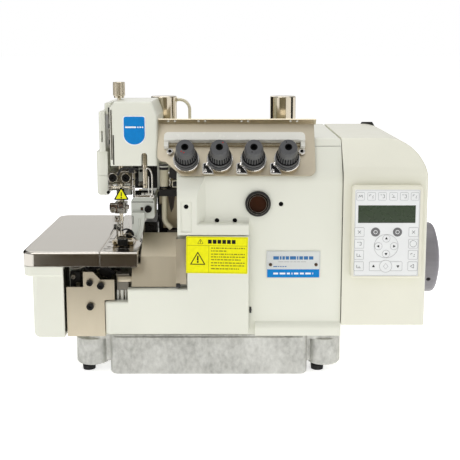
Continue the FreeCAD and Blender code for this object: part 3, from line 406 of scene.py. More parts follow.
class Sheet:
    """Flat printed or laminated work: each patch is a thin raised layer in sheet coordinates, in mm."""

    def __init__(self, placement):
        self.bm = bmesh.new()
        self.placement = placement
        self.materials = []

    def index(self, material):
        if material not in self.materials:
            self.materials.append(material)
        return self.materials.index(material)

    def _point(self, u, v, w):
        return self.bm.verts.new(self.placement @ Vector((u * MM, v * MM, w * MM)))

    def patch(self, loop, low, high, material, hole=None, soft=0.0):
        """A raised patch from height low to height high, with an optional matching hole."""
        index = self.index(material)
        loops = [loop] + ([hole] if hole else [])
        tops = []
        for number, ring in enumerate(loops):
            bottom = [self._point(u, v, low) for u, v in ring]
            rim = ring if not soft else inset(ring, soft if number == 0 else -soft)
            top = [self._point(u, v, high) for u, v in rim]
            if soft:
                shoulder = [self._point(u, v, high - soft) for u, v in ring]
                self._wall(bottom, shoulder, index)
                self._wall(shoulder, top, index)
            else:
                self._wall(bottom, top, index)
            tops.append(top)
            loops[number] = bottom
        if hole:
            self._wall(tops[0], tops[1], index)
            self._wall(loops[0], loops[1], index)
        else:
            self._face(tops[0], index)
            self._face(loops[0], index)

    def _face(self, verts, index):
        self.bm.faces.new(verts).material_index = index

    def _wall(self, a, b, index):
        n = len(a)
        for k in range(n):
            self._face([a[k], a[(k + 1) % n], b[(k + 1) % n], b[k]], index)

    def outline(self, loop, width, low, high, material):
        self.patch(loop, low, high, material, hole=inset(loop, width))

    def dashes(self, x0, x1, y, tall, low, high, material, rng, longest=3.2, gap=0.55):
        """A row of plain dashes that stands for a printed line."""
        x = x0
        while x < x1 - 0.5:
            wide = min(rng.uniform(0.9, longest), x1 - x)
            self.patch(rect(x, y, x + wide, y + tall), low, high, material)
            x += wide + gap

    def done(self, name, body, slot):
        finish_mesh(name, self.bm, self.materials, body)


def axis_frame(origin, axis):
    """Matrix whose Z is the axis, at the origin."""
    return Matrix.Translation(origin) @ Vector(axis).normalized().to_track_quat("Z", "Y").to_matrix().to_4x4()


def lathe(bm, profile, placement, segments=40, index=0):
    """Turned shape from (radius, height) pairs in mm."""
    rings = []
    for r, h in profile:
        if r < 1e-6:
            rings.append([bm.verts.new(placement @ Vector((0, 0, h * MM)))])
        else:
            rings.append([bm.verts.new(placement @ Vector((r * MM * math.cos(TURN * k / segments),
                                                           r * MM * math.sin(TURN * k / segments), h * MM)))
                          for k in range(segments)])
    for a, b in zip(rings, rings[1:]):
        for k in range(segments):
            n = (k + 1) % segments
            corners = [a[k % len(a)], a[n % len(a)], b[n % len(b)], b[k % len(b)]]
            unique = [v for i, v in enumerate(corners) if v not in corners[:i]]
            if len(unique) > 2:
                bm.faces.new(unique).material_index = index


def through(points, steps):
    """Catmull-Rom curve through the points."""
    pts = [Vector(p) for p in points]
    pts = [2 * pts[0] - pts[1]] + pts + [2 * pts[-1] - pts[-2]]
    made = []
    for i in range(1, len(pts) - 2):
        p0, p1, p2, p3 = pts[i - 1:i + 3]
        for s in range(steps):
            t = s / steps
            made.append(0.5 * (2 * p1 + (p2 - p0) * t + (2 * p0 - 5 * p1 + 4 * p2 - p3) * t ** 2
                               + (3 * p1 - p0 - 3 * p2 + p3) * t ** 3))
    return made + [pts[-2]]


def sweep(bm, points, radius, steps=6, segments=12, index=0):
    """Round wire along a smooth line, with domed ends. Points in metres, radius in mm."""
    line = through(points, steps)
    up = Vector((0, 0, 1))
    rings = []
    for k, p in enumerate(line):
        ahead = line[min(k + 1, len(line) - 1)] - line[max(k - 1, 0)]
        ahead.normalize()
        side = ahead.cross(up)
        if side.length < 1e-3:
            side = ahead.cross(Vector((1, 0, 0)))
        side.normalize()
        up = side.cross(ahead).normalized()
        angles = [TURN * s / segments for s in range(segments)]
        spokes = [side * math.cos(a) + up * math.sin(a) for a in angles]
        rings.append([bm.verts.new(p + spoke * radius * MM) for spoke in spokes])
    for a, b in zip(rings, rings[1:]):
        for s in range(segments):
            n = (s + 1) % segments
            bm.faces.new([a[s], a[n], b[n], b[s]]).material_index = index
    for ring, out in ((rings[0], line[0] - line[1]), (rings[-1], line[-1] - line[-2])):
        centre = sum((v.co for v in ring), Vector()) / segments
        tip = bm.verts.new(centre + out.normalized() * radius * MM * 0.5)
        for s in range(segments):
            bm.faces.new([ring[s], ring[(s + 1) % segments], tip]).material_index = index


def box_at(bm, low, high, index=0, soft=0.4):
    """Bevelled block between two corners, in metres, with its edges softened in mm."""
    low, high = Vector(low), Vector(high)
    made = bmesh.ops.create_cube(bm, size=1.0)["verts"]
    for v in made:
        v.co = Vector((low[i] + (v.co[i] + 0.5) * (high[i] - low[i]) for i in range(3)))
    for v in made:
        for f in v.link_faces:
            f.material_index = index
    edges = list({e for v in made for e in v.link_edges})
    bmesh.ops.bevel(bm, geom=edges, offset=soft * MM, segments=2, affect="EDGES", profile=0.5)


# ---------------------------------------------------------------- printed pieces
def cover_label(rng):
    """Yellow notice on the looper cover, with a plain sign and dashes for its lines."""
    low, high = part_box("front_cover")
    s = Sheet(front_plane(high.x - 31.5 * MM, low.y, high.z - 18.9 * MM, math.radians(-0.9)))
    thin, bold = (0.1, 0.16), (0.1, 0.17)
    s.patch(rounded_rect(-30.5, -18.6, 30.5, 18.6, 0.9), UNDER, 0.12, INK["yellow"])
    s.outline(rounded_rect(-29.7, -17.8, 29.7, 17.8, 0.7), 0.28, *thin, INK["olive"])
    s.patch(rect(-29.7, 9.4, 29.7, 9.75), *thin, INK["olive"])
    s.patch(rect(-8.2, -17.8, -7.9, 9.4), *thin, INK["olive"])
    for cx, cy, side in ((-18.9, -5.4, 15.5), (-16.5, 12.9, 6.2)):
        s.outline(triangle(cx, cy, side, 0.5), side * 0.06, *bold, INK["black"])
        stem = side * 0.055
        s.patch([(cx - stem, cy - side * 0.02), (cx + stem, cy - side * 0.02),
                 (cx + stem * 0.8, cy + side * 0.3), (cx - stem * 0.8, cy + side * 0.3)], *bold, INK["black"])
        s.patch(disc(cx, cy - side * 0.11, stem * 1.2, 14), *bold, INK["black"])
    for k in range(6):
        left = -9.0 + 4.7 * k
        s.patch(rounded_rect(left, 11.6, left + 3.7, 15.6, 0.3), *bold, INK["black"])
    for y, end in ((6.6, 27.5), (3.7, 10.0), (0.5, 27.5), (-2.3, 27.5), (-5.1, 24.0),
                   (-8.3, 27.5), (-11.1, 27.0), (-14.3, 22.0)):
        s.dashes(-5.8, end, y, 1.15, 0.1, 0.15, INK["olive"], rng, 4.0, 0.7)
    s.done("cover_label", "looper_door", "plate_print")


def head_badge():
    """Blue shield-shaped badge with a white rim, a plain bar and three diamonds."""
    low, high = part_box("head_cover")
    s = Sheet(front_plane((low.x + high.x) / 2 + 1.0 * MM, low.y, high.z - 28.4 * MM))

    def shield(grow):
        wide, top, straight, r = 10.4 + grow, 13.6 + grow, -4.5, 2.2
        loop = [(wide, straight)]
        for cx, start in ((wide - r, 0), (-wide + r, 90)):
            for k in range(6):
                a = math.radians(start + 18 * k)
                loop.append((cx + r * math.cos(a), top - r + r * math.sin(a)))
        loop.append((-wide, straight))
        for k in range(1, 24):
            a = math.radians(7.5 * k)
            loop.append((-wide * math.cos(a), straight - (9.6 + grow) * math.sin(a)))
        return loop
    s.patch(shield(0.9), UNDER, 0.5, INK["white"], soft=0.2)
    s.patch(shield(0.0), 0.4, 0.75, INK["blue"], soft=0.15)
    s.patch(rounded_rect(-8.9, 2.4, 1.9, 3.9, 0.5), 0.7, 0.86, INK["white"])
    for k in range(3):
        x = 3.7 + 2.3 * k
        s.patch([(x - 1.0, 3.15), (x, 2.2), (x + 1.0, 3.15), (x, 4.1)], 0.7, 0.86, INK["white"])
    s.done("head_badge", "machine", "plate_print")


def guard_sticker():
    """Yellow triangle on the eye guard, with a plain black rim and mark."""
    low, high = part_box("eye_guard")
    s = Sheet(front_plane((low.x + high.x) / 2 + 1.0 * MM, low.y, high.z - 10.2 * MM))
    s.patch(triangle(0, 0, 16.0, 1.0), UNDER, 0.25, INK["black"])
    s.patch(triangle(0, 0, 11.4, 0.4), 0.2, 0.36, INK["yellow"])
    s.patch([(-0.6, -0.6), (0.6, -0.6), (0.5, 3.4), (-0.5, 3.4)], 0.3, 0.44, INK["black"])
    s.patch(disc(0, -2.1, 0.85, 14), 0.3, 0.44, INK["black"])
    s.done("guard_sticker", "finger_guard", "plate_print")


# Plain line symbols for the keys, as strokes from (x0, y0) to (x1, y1) in mm.
STROKES = {
    "cross": ((-1.5, -1.5, 1.5, 1.5), (-1.5, 1.5, 1.5, -1.5)),
    "steps": ((-2, -1.6, 2, -1.6), (-2, -1.6, -2, 1.4), (0.4, -1.6, 0.4, 0.4)),
    "hook": ((-2, 1.5, -0.6, 1.5), (0.2, -1.5, 2, -1.5), (2, -1.5, 2, 1.5), (0.2, 1.5, 2, 1.5)),
    "notch": ((-2, 1.5, -0.4, 1.5), (-2, 1.5, -2, 0), (0.4, -1.5, 2, -1.5), (0.8, -0.2, 2, 0.6)),
    "line": ((-1.8, -0.9, 1.8, -0.9), (-1.8, 1.6, -0.8, 1.6), (0.2, -0.9, 0.2, 1.2)),
    "zigzag": ((-2, -1.4, -1.2, 1.5), (-1.2, 1.5, 0, -0.6), (0, -0.6, 1.2, 1.5), (1.2, 1.5, 2, -1.4)),
}


def keypad_print():
    """Key outlines and plain symbols of the control panel's membrane."""
    low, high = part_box("keypad_membrane")
    wide, tall = (high.x - low.x) / MM, (high.z - low.z) / MM
    s = Sheet(front_plane(low.x, low.y, low.z))
    ink, line, film, lift = INK["pale_grey"], INK["grey"], M["membrane_film"], 0.12
    s.outline(rounded_rect(0.5, 0.5, wide - 0.5, tall - 0.5, 1.5), 0.25, UNDER, 0.06, ink)

    def key(cx, cy, kw, kh):
        loop = rounded_rect(cx - kw / 2, cy - kh / 2, cx + kw / 2, cy + kh / 2, 1.0)
        s.patch(loop, UNDER, lift + 0.06, film, soft=0.12)
        s.outline(loop, 0.34, 0, lift + 0.1, ink)

    def symbol(cx, cy, kind):
        for x0, y0, x1, y1 in STROKES[kind]:
            a, b = Vector((cx + x0, cy + y0)), Vector((cx + x1, cy + y1))
            side = Vector((-(b - a).y, (b - a).x)).normalized() * 0.22
            loop = [tuple(a - side), tuple(b - side), tuple(b + side), tuple(a + side)]
            s.patch(loop, lift, lift + 0.16, line)

    # Columns and rows are shares of the film's width and height.
    top, columns = 0.923 * tall, [0.085, 0.252, 0.418, 0.588, 0.752, 0.918]
    for k, kind in zip(columns, ("zigzag", "notch", "hook", "line", "hook", "notch")):
        key(k * wide, top, 8.0, 8.0)
        symbol(k * wide, top, kind)
    rows = [0.512, 0.377, 0.247, 0.114]
    for k, left, right in zip(rows, ("cross", "hook", "steps", "steps"), ("cross", "", "notch", "")):
        for column, kind in ((0.077, left), (0.912, right)):
            key(column * wide, k * tall, 9.6, 9.4)
            if kind:
                symbol(column * wide, k * tall, kind)
    s.outline(disc(0.912 * wide, rows[1] * tall, 3.4), 0.3, lift, lift + 0.16, line)
    s.outline(triangle(0.912 * wide, rows[3] * tall, 4.6, 0.3, 90), 0.4, lift, lift + 0.16, line)
    for column in (0.325, 0.664):
        s.patch(disc(column * wide, rows[0] * tall, 4.5), UNDER, 0.3, line, soft=0.15)
        s.outline(disc(column * wide, rows[0] * tall, 2.0, 20), 0.5, 0.25, 0.36, INK["white"])
    cx, cy, reach = 0.495 * wide, 0.348 * tall, 7.7
    s.outline(disc(cx, cy, 12.0, 48), 0.32, UNDER, lift + 0.1, ink)
    for turn in (0, 90, 180, 270):
        a = math.radians(90 + turn)
        x, y = cx + reach * math.cos(a), cy + reach * math.sin(a)
        s.patch(disc(x, y, 3.8), UNDER, lift + 0.1, film, soft=0.12)
        s.outline(disc(x, y, 3.8), 0.32, 0, lift + 0.14, ink)
        s.patch(triangle(x, y, 2.9, 0.2, turn), lift, lift + 0.2, INK["black"])
    low_y = rows[3] * tall
    key(0.36 * wide, low_y, 15.5, 9.4)
    key(0.63 * wide, low_y, 15.5, 9.4)
    s.patch(triangle(0.305 * wide, low_y, 3.0, 0.2), lift, lift + 0.22, INK["black"])
    s.patch(triangle(0.685 * wide, low_y, 3.0, 0.2, 180), lift, lift + 0.22, INK["black"])
    s.patch(disc(cx, low_y, 6.3), UNDER, lift + 0.2, film, soft=0.12)
    s.outline(disc(cx, low_y, 6.3), 0.36, 0.1, lift + 0.26, ink)
    diamond = [(cx + 2.6, low_y), (cx, low_y + 3.1), (cx - 2.6, low_y), (cx, low_y - 3.1)]
    s.outline(diamond, 0.45, lift, lift + 0.28, ink)
    s.done("keypad_print", "machine", "membrane_film")


def name_plate_print(rng):
    """Dashes, a blue band and two rivets in place of any name."""
    low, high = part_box("nameplate")
    wide, tall = (high.x - low.x) / MM, (high.z - low.z) / MM
    s = Sheet(front_plane(low.x, low.y, low.z))
    s.outline(rounded_rect(0.7, 0.7, wide - 0.7, tall - 0.7, 0.8), 0.2, UNDER, 0.08, INK["pale_grey"])
    s.patch(rect(0.9, 0.9, wide - 0.9, 9.2), UNDER, 0.08, INK["blue"])
    s.dashes(7.0, wide - 7.0, 19.2, 3.4, UNDER, 0.1, INK["steel_blue"], rng, 7.0, 0.9)
    s.dashes(12.0, wide - 14.0, 16.6, 0.6, UNDER, 0.1, INK["pale_grey"], rng, 6.0, 0.8)
    s.dashes(7.0, 21.0, 11.6, 0.9, UNDER, 0.1, INK["steel_blue"], rng, 4.0, 0.8)
    s.dashes(7.0, wide - 7.0, 4.0, 1.8, 0.0, 0.14, INK["white"], rng, 9.0, 1.6)
    rivet = s.index(BRASS)
    for u in (4.2, wide - 4.2):
        centre = Vector((low.x + u * MM, low.y, low.z + (tall - 14.0) * MM))
        lathe(s.bm, [(1.7, UNDER), (1.7, 0.3), (1.45, 0.75), (0.9, 1.0), (0, 1.08)],
              axis_frame(centre, TO_FRONT), 24, rivet)
    s.done("nameplate_print", "machine", "plate_print")


# ---------------------------------------------------------------- small fittings
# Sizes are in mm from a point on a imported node, and on the tension plate from a knob's joint.
def corner(node, right=False, back=False, top=False):
    """One corner of a node's box; the left, front and lowest one unless asked otherwise."""
    low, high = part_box(node)
    return Vector((high.x if right else low.x, high.y if back else low.y, high.z if top else low.z))


def shifted(point, x=0.0, y=0.0, z=0.0):
    """A point moved by millimetres."""
    return point + Vector((x, y, z)) * MM


class Fitting:
    """Small piece built from softened blocks, turned shapes and wires."""

    def __init__(self, start):
        self.bm = bmesh.new()
        self.start = start

    def blocks(self, *rows):
        """Blocks, each with its offset, its size, its material's number and its softened edge."""
        for offset, size, index, soft in rows:
            place = shifted(self.start, *offset)
            box_at(self.bm, place, shifted(place, *size), index, soft)

    def turned(self, offset, profile, segments, index=0, axis=TO_FRONT):
        lathe(self.bm, profile, axis_frame(shifted(self.start, *offset), axis), segments, index)

    def wire(self, y, route, radius, index=0, segments=12):
        """Wire through (x, z) points that all lie at one depth."""
        points = [shifted(self.start, x, y, z) for x, z in route]
        sweep(self.bm, points, radius, segments=segments, index=index)

    def plate(self, outline, y, thick):
        """Flat plate whose (x, z) outline lies at one depth and whose thickness runs back."""
        place = shifted(self.start, 0, y, 0)
        front, back = [[self.bm.verts.new(shifted(place, x, d, z)) for x, z in outline] for d in (0, thick)]
        self.bm.faces.new(front)
        self.bm.faces.new(back)
        for k in range(len(outline)):
            j = (k + 1) % len(outline)
            self.bm.faces.new([front[k], front[j], back[j], back[k]])

    def done(self, name, looks, body, slot):
        finish_mesh(name, self.bm, looks, body)


def ring(inner, outer, tall):
    """Closed profile of a plain ring."""
    return [(inner, 0), (outer, 0), (outer, tall), (inner, tall), (inner, 0)]


def arm_shade_casting():
    """Black ribbed casting under the arm, behind the presser, with pale blocks and screws on it; its black is
    partly painted shade for the dark hollow there.
    """
    p = Fitting(shifted(corner("head_frame"), 18, 22, -5.5))
    p.blocks(
        ((0, 0, 0), (27.5, 6, 28), 0, 1.2),
        ((2, 6, -1.4), (28, 3, 20), 0, 0.8),
        ((-15.5, -4.5, -7), (16.5, 3.5, 22), 3, 1.0),
        ((26.6, -4.6, -2), (4.2, 4.4, 31), 3, 0.9),
        ((27.8, 2.6, -50), (5.4, 2.4, 44), 0, 0.6),
        ((26.7, 2.4, -30), (6.5, 2.4, 25), 0, 0.6),
        ((32.4, 3.2, -54), (17.5, 2.0, 18), 0, 0.6),
        *(((x, -2.2, 1), (2.0, 3, 25), 0, 0.5) for x in (1.5, 13.5, 22)))
    p.turned((18, 0, 7), [(4.2, 0), (4.2, 2.6), (3.4, 3.2), (1.6, 3.2), (1.5, 1.4), (0, 1.2)], 28)
    p.turned((9.5, 0, 4), [(2.6, 0), (2.6, 1.6), (2.1, 2.0), (0, 2.0)], 20, 2)
    p.blocks(((7.5, -7, 7), (6.5, 8, 16), 1, 0.8))
    p.turned((10.8, -7, 19), [(1.5, 0), (1.5, 0.7), (1.1, 1.0), (0, 1.0)], 20)
    # The first look, black plastic, is partly painted shade for the hollow under the arm.
    looks = [M["black_plastic"], M["satin_casting"], M["machined_steel"], M["cream_paint"]]
    p.done("arm_shade_casting", looks, "machine", "black_plastic")


def thread_wires():
    """Nickel wire loop, cross bar and upright strip that lead the needle threads."""
    p = Fitting(shifted(corner("take_up_rod", right=True), 0, -1.6, 0))
    loop = [(-4.6, 18), (-3.6, 20), (-1.2, 20), (0.6, 17.5), (1.6, 14), (1.8, 8), (1.8, 0), (1.7, -7.5)]
    p.wire(0.6, [(x + 3.0, z) for x, z in loop], 0.75)
    p.wire(1.0, [(1.2, z) for z in (12, 4, -3, -7.5)], 0.55)
    p.blocks(
        ((-12.6, 0, -9.2), (18.4, 1.6, 2.4), 0, 0.4),
        ((-14.8, -0.4, -9.6), (2.5, 1.8, 30), 0, 0.5))
    for z in (-6.5, 2, 9, 16.5):
        p.turned((-13.6, -0.4, z), [(0.9, 0), (0.9, 0.4), (0.5, 0.7), (0, 0.7)], 16, 1)
    p.turned((4.6, 0, -8.0), [(2.0, 0), (2.0, 0.8), (1.5, 1.2), (0.8, 1.2), (0.7, 0.6), (0, 0.6)], 24)
    p.done("thread_wires", [CHROME, M["dark_steel"]], "machine", "polished_steel")


def plate_link():
    """Black bent link over the screw plate, with two washers on the plate's screws."""
    p = Fitting(corner("needle_bar_guide", top=True))
    p.wire(-4.8, [(11, -1.2), (12.5, 1.5), (15, 4.8), (20, 5.4), (26, 5.0), (31.5, 4.2)], 1.1)
    p.wire(-4.4, ((10, 0.6), (14, 1.8), (22, 2.2), (30, 1.4)), 0.8, 1)
    p.blocks(((22, -6.0, 0.8), (5.5, 2.4, 3.4), 0, 0.6))
    for x in (4.8, 17.9):
        p.turned((x, 4.9, -5.6), [(4.1, 0), (5.0, 0), (5.0, 0.5), (4.7, 0.8), (4.1, 0.8), (4.1, 0)], 36, 2)
    looks = [M["black_plastic"], M["machined_steel"], CHROME]
    p.done("plate_link", looks, "machine", "dark_steel")


def presser_details():
    """Screw, brass inserts, rollers, wire and ribs on the presser's head."""
    p = Fitting(shifted(corner("presser_arm", top=True), 0, 4, 0))
    p.turned((17.4, 0, -13), [(3.7, 0), (3.7, 2.2), (3.2, 2.8), (1.9, 2.8), (1.8, 1.2), (0, 1.1)], 32)
    p.blocks(
        ((9.6, -0.7, -14.6), (2.6, 1.0, 3.4), 1, 0.3),
        ((9.9, -0.5, -19.2), (1.8, 0.8, 3.0), 1, 0.3),
        ((2.0, 9, -3.4), (20, 11, 6.6), 0, 1.0))
    for x in (10.5, 14.4, 18.3):
        p.turned((x, 2.2, 1.5), [(0, 0), (1.5, 0), (2.1, 0.5), (1.6, 1.5), (2.1, 2.5), (1.5, 3.0), (0, 3.0)],
                 24, 2, (1, 0, 0))
    p.blocks(((1.2, -4.9, -27.5), (1.4, 1.2, 8), 3, 0.4))
    p.wire(-4.4, ((8.2, -22), (8.6, -28), (7.8, -34), (5.6, -40)), 0.8, 3)
    p.blocks(((0.6, -0.6, -6.4), (22.2, 0.9, 1.0), 3, 0.3))
    looks = [M["dark_steel"], BRASS, M["white_plastic"], M["satin_casting"]]
    p.done("presser_details", looks, "presser", "satin_casting")


def foot_details():
    """Dark toothed block, cross bar and lever at the front of the presser foot."""
    p = Fitting(corner("presser_foot"))
    p.blocks(
        ((5.5, -2.8, 0.6), (10.5, 3.4, 6.2), 0, 0.5),
        *(((6.3 + 2.5 * k, -3.5, 1.2), (1.5, 1.2, 4.8), 0, 0.3) for k in range(4)),
        ((4.6, -3.0, 7.6), (11.6, 2.4, 1.5), 1, 0.4))
    p.turned((17.0, 8.6, 10.6),
           [(0, 0), (4.4, 0), (4.6, 0.5), (4.4, 1.8), (3.2, 2.2), (1.8, 2.2), (1.7, 1.2), (0, 1.1)], 32)
    p.wire(7.0, ((9, 14.2), (13, 15.8), (17, 15.0), (20.6, 11)), 0.9)
    p.wire(5.4, ((10, 9.4), (15, 11.4), (20, 9.0), (23.2, 5.2)), 0.7, 1)
    p.blocks(((20.4, 2.4, 8.2), (3.8, 2, 1.5), 2, 0.4))
    looks = [M["dark_steel"], M["machined_steel"], M["white_plastic"]]
    p.done("foot_details", looks, "presser", "polished_steel")


def looper_guides():
    """Small thread guides in front of the needles, held from the presser foot."""
    p = Fitting(corner("presser_foot", top=True))
    p.wire(7.6, ((4.5, -6), (4.2, 1), (5.2, 8), (4.2, 13.6)), 0.9)
    p.blocks(((1.8, 6.4, 10.2), (5.6, 3.2, 6.0), 1, 0.8))
    p.turned((4.4, 6.4, 14.2), ring(1.2, 2.4, 1.2), 24)
    p.blocks(
        ((0.9, 6.6, 2.2), (3.0, 2.8, 5.6), 2, 0.6),
        ((4.4, 6.8, 0.4), (3.4, 2.4, 7.8), 0, 0.6))
    p.turned((6.0, 6.8, 3.6), ring(0.7, 1.4, 0.8), 20, 2)
    p.blocks(*(((8.6, 7.4, z), (1.6, 1.8, 2.1), 1, 0.4) for z in (0.5, 3.6, 6.8)))
    p.wire(5.4, ((2.2, 5.6), (-0.4, 1.4), (-2.6, -2.6)), 0.35, 2, 8)
    looks = [M["machined_steel"], BRASS, M["dark_steel"]]
    p.done("looper_guides", looks, "presser", "polished_steel")


def clamp_guide():
    """Bracket, ring and screw beside the needle clamp, which travel with the needles."""
    p = Fitting(corner("needle_clamp", top=True))
    p.blocks(
        ((-4.0, -1.2, -9.6), (7.4, 4.2, 9.8), 0, 0.9),
        ((-4.4, -1.6, -1.6), (8.6, 4.8, 1.9), 1, 0.5))
    eye = (-0.8, -1.2, -6.6)
    p.turned(eye, [(1.3, 0), (3.0, 0), (3.0, 1.3), (2.6, 1.6), (1.3, 1.6), (1.3, 0)], 28, 1)
    p.turned(eye, [(1.2, 0), (1.2, 0.9), (0, 0.9)], 16, 3)
    p.blocks(
        ((-4.6, -1.8, -7.4), (1.6, 2.6, 6.4), 2, 0.4),
        ((4.6, -1.4, -5.2), (4.6, 3.6, 6.6), 2, 0.6),
        ((5.2, -2.0, -2.8), (3.2, 1.4, 2.8), 0, 0.4),
        ((11.6, 0.2, -6.2), (3.6, 2.4, 4.6), 1, 0.6))
    looks = [BRASS, M["machined_steel"], M["dark_steel"], CHROME]
    p.done("clamp_guide", looks, "needle_carrier", "machined_steel")


def plate_marks():
    """Seam guides and slots as flat black marks, painted shade in place of their depth, and two bright rings, on
    the fixed strip of the sewing surface.
    """
    p = Fitting(corner("bed_plate", top=True))
    # Flat black marks: painted shade for the inside of the seam guides and slots.
    for x, y, wide, deep in (
            (1.0, 62, 8.5, 0.9), (8.5, 55, 6.0, 0.9), (11.6, 30, 0.8, 17), (1.0, 15, 7.5, 1.0),
            (8.6, 20, 8.0, 0.9), (4.2, 24, 3.6, 0.8), (2.4, 9, 2.2, 0.9), (6.4, 36, 3.2, 0.7)):
        p.blocks(((x, y, -0.15), (wide, deep, 0.3), 0, 0.1))
    for x, y in ((4.0, 47), (15.0, 12)):
        p.turned((x, y, 0), [(1.1, -0.1), (2.1, -0.1), (2.1, 0.15), (1.9, 0.25), (1.1, 0.2), (1.1, -0.1)],
                 28, 1, UPWARD)
    p.done("plate_marks", [INK["well"], M["machined_steel"]], "machine", "table_steel")


def pipe_details():
    """Rings on the trimmings pipe, the chrome spring beside it and a block and tube behind it."""
    low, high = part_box("suction_pipe")
    p = Fitting(Vector((low.x + 4.4 * MM, (low.y + high.y) / 2, high.z)))
    for z, grow, index in ((-1.6, 0.25, 1), (1.0, 0.6, 2), (-20.6, 0.3, 1)):
        p.turned((0, 0, z), [(4.4, 0), (4.4 + grow, 0.2), (4.4 + grow, 1.6), (4.4, 1.8)], 32, index, UPWARD)
    p.turned((0, 0, -20.2), ring(2.4, 4.4, 0.2), 32, 1, UPWARD)
    wave = [(6.4 + 0.5 * (-1) ** k, -1.4 - 2.2 * k) for k in range(9)]
    for y in (-1.5, 0.4):
        p.wire(y, wave, 0.9, 3)
    p.blocks(((8.6, -5.0, -19.5), (7.0, 5, 7.2), 1, 0.8))
    p.wire(9.4, [(-4.4, z) for z in (-40, -52, -62, -70)], 2.2, 1)
    looks = [M["pipe_plastic"], M["black_plastic"], M["white_plastic"], CHROME]
    p.done("pipe_details", looks, "machine", "black_plastic")


def duct_with_painted_shade():
    """Brown-grey duct behind the slot in the plate under the arm; its dark tone is partly painted shade for the
    hollow between pipe and column.
    """
    low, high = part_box("suction_pipe")
    p = Fitting(Vector((low.x, high.y, high.z - 5 * MM)))
    p.blocks(
        ((-1.4, 8.2, -57), (18.6, 3.4, 52), 0, 1.2),
        *(((x, 7.6, -50), (1.2, 1.2, 42), 0, 0.4) for x in (3.2, 11.0)))
    p.done("duct_with_painted_shade", [DUCT_SHADE], "machine", "black_plastic")


def slope_frame(number):
    """Frame of one tension: X to the right, Y up the plate, Z out of it, as its joint is recorded."""
    joint = next(j for j in frame["joints"] if j["name"] == f"tension_knob_{number}_turn")
    out = Vector(joint["axis"]).normalized()
    side = Vector((1, 0, 0))
    up = out.cross(side)
    turn = Matrix((side, up, out)).transposed().to_4x4()
    return Matrix.Translation(Vector(joint["pos_m"])) @ turn


def on_slope(place, x, y, out):
    """A tension's frame moved along the plate and out of it."""
    return place @ Matrix.Translation(Vector((x, y, out)) * MM)


def knob_cap(number, marks):
    """Black well in the knob's end as painted shade, its coloured marks, two black collars as painted shade of the
    grooves and black lines along the flutes as painted shade between them.
    """
    place = slope_frame(number)
    bm = bmesh.new()
    # The well is painted black: painted shade in the recess.
    well = [(3.0, 11.3), (3.0, 14.95), (3.5, 15.1), (3.3, 15.2), (2.7, 15.1), (2.5, 11.8), (0, 11.6)]
    lathe(bm, well, place, 28, 0)
    for index, angle, radius in marks:
        a = math.radians(angle)
        spot = on_slope(place, radius * math.cos(a), radius * math.sin(a), 14.9)
        lathe(bm, [(0.62, -0.2), (0.62, 0.12), (0.4, 0.25), (0, 0.28)], spot, 14, index)
    # Black collars: painted shade of the knob's grooves.
    for n, radius in ((-9.2, 10.25), (-4.8, 9.95)):
        groove_shade = [(radius, n), (radius + 1.0, n + 0.1), (radius + 1.0, n + 1.4), (radius, n + 1.5)]
        lathe(bm, groove_shade, place, 48, 0)
    # Black lines along the flutes: painted shade between the ribs.
    flutes = 24
    for k in range(flutes):
        out = Vector((math.cos(TURN * k / flutes), math.sin(TURN * k / flutes), 0))
        ends = [place @ ((out * r + Vector((0, 0, n))) * MM) for r, n in ((10.0, -3.0), (9.25, 5.2))]
        sweep(bm, ends, 0.42, steps=1, segments=6, index=0)
    looks = [INK["well"], INK["red"], INK["black"]]
    finish_mesh(f"knob_cap_{number}", bm, looks, f"tension_dial_{number}")


def tension_trim():
    """Bright base rings, white eyelets, rims of the lower guides and rings round two screws."""
    bm = bmesh.new()
    tab = [(-6.0, -16.0), (-7.0, -12.0), (-13.0, -4.0), (-15.0, -4.0), (-16.2, -4.5), (-16.9, -5.8),
           (-17.0, -14.0), (-16.6, -15.2), (-15.4, -15.9), (-14.6, -16.0)]
    rim = inset(tab, 1.1)
    for number in range(1, 5):
        place = slope_frame(number)
        lathe(bm, [(10.4, -13.5), (12.6, -13.5), (13.0, -13.1), (13.0, -12.7), (12.6, -12.3), (10.4, -12.3),
                   (10.4, -13.5)], place, 48, 0)
        eyelet = on_slope(place, -14.9, 20.4, -15.7)
        lathe(bm, [(0.55, 0), (1.5, 0), (1.5, 0.4), (1.1, 0.8), (0.55, 0.7), (0.55, 0)], eyelet, 20, 1)
        if number == 1:
            continue
        rings = [[bm.verts.new(place @ (Vector((x, y, n)) * MM)) for x, y in loop]
                 for loop, n in ((tab, -12.8), (tab, -11.9), (rim, -11.9), (rim, -12.5))]
        for a, b in zip(rings, rings[1:]):
            for k in range(len(tab)):
                j = (k + 1) % len(tab)
                bm.faces.new([a[k], a[j], b[j], b[k]]).material_index = 0
        bm.faces.new(rings[-1]).material_index = 2
        stud = on_slope(place, -14.2, -12.6, -12.5)
        lathe(bm, [(1.9, 0), (1.9, 0.9), (1.3, 1.5), (0.6, 1.5), (0.6, 0.4), (0, 0.4)], stud, 24, 0)
        post = on_slope(place, -12.2, -6.8, -12.5)
        lathe(bm, [(1.2, 0), (1.2, 2.2), (1.9, 2.4), (1.9, 3.2), (1.4, 3.6), (0, 3.6)], post, 24, 0)
    for x in (-16.5, 114.0):
        lathe(bm, [(1.75, 0), (3.0, 0), (3.5, -0.5), (3.5, -2.6), (3.35, -2.6), (3.35, -0.3), (2.9, 0.15),
                   (1.75, 0.15), (1.75, 0)], on_slope(slope_frame(1), x, 10, -15.3), 32, 0)
    looks = [CHROME, M["white_plastic"], M["dark_steel"]]
    finish_mesh("tension_trim", bm, looks, "machine")


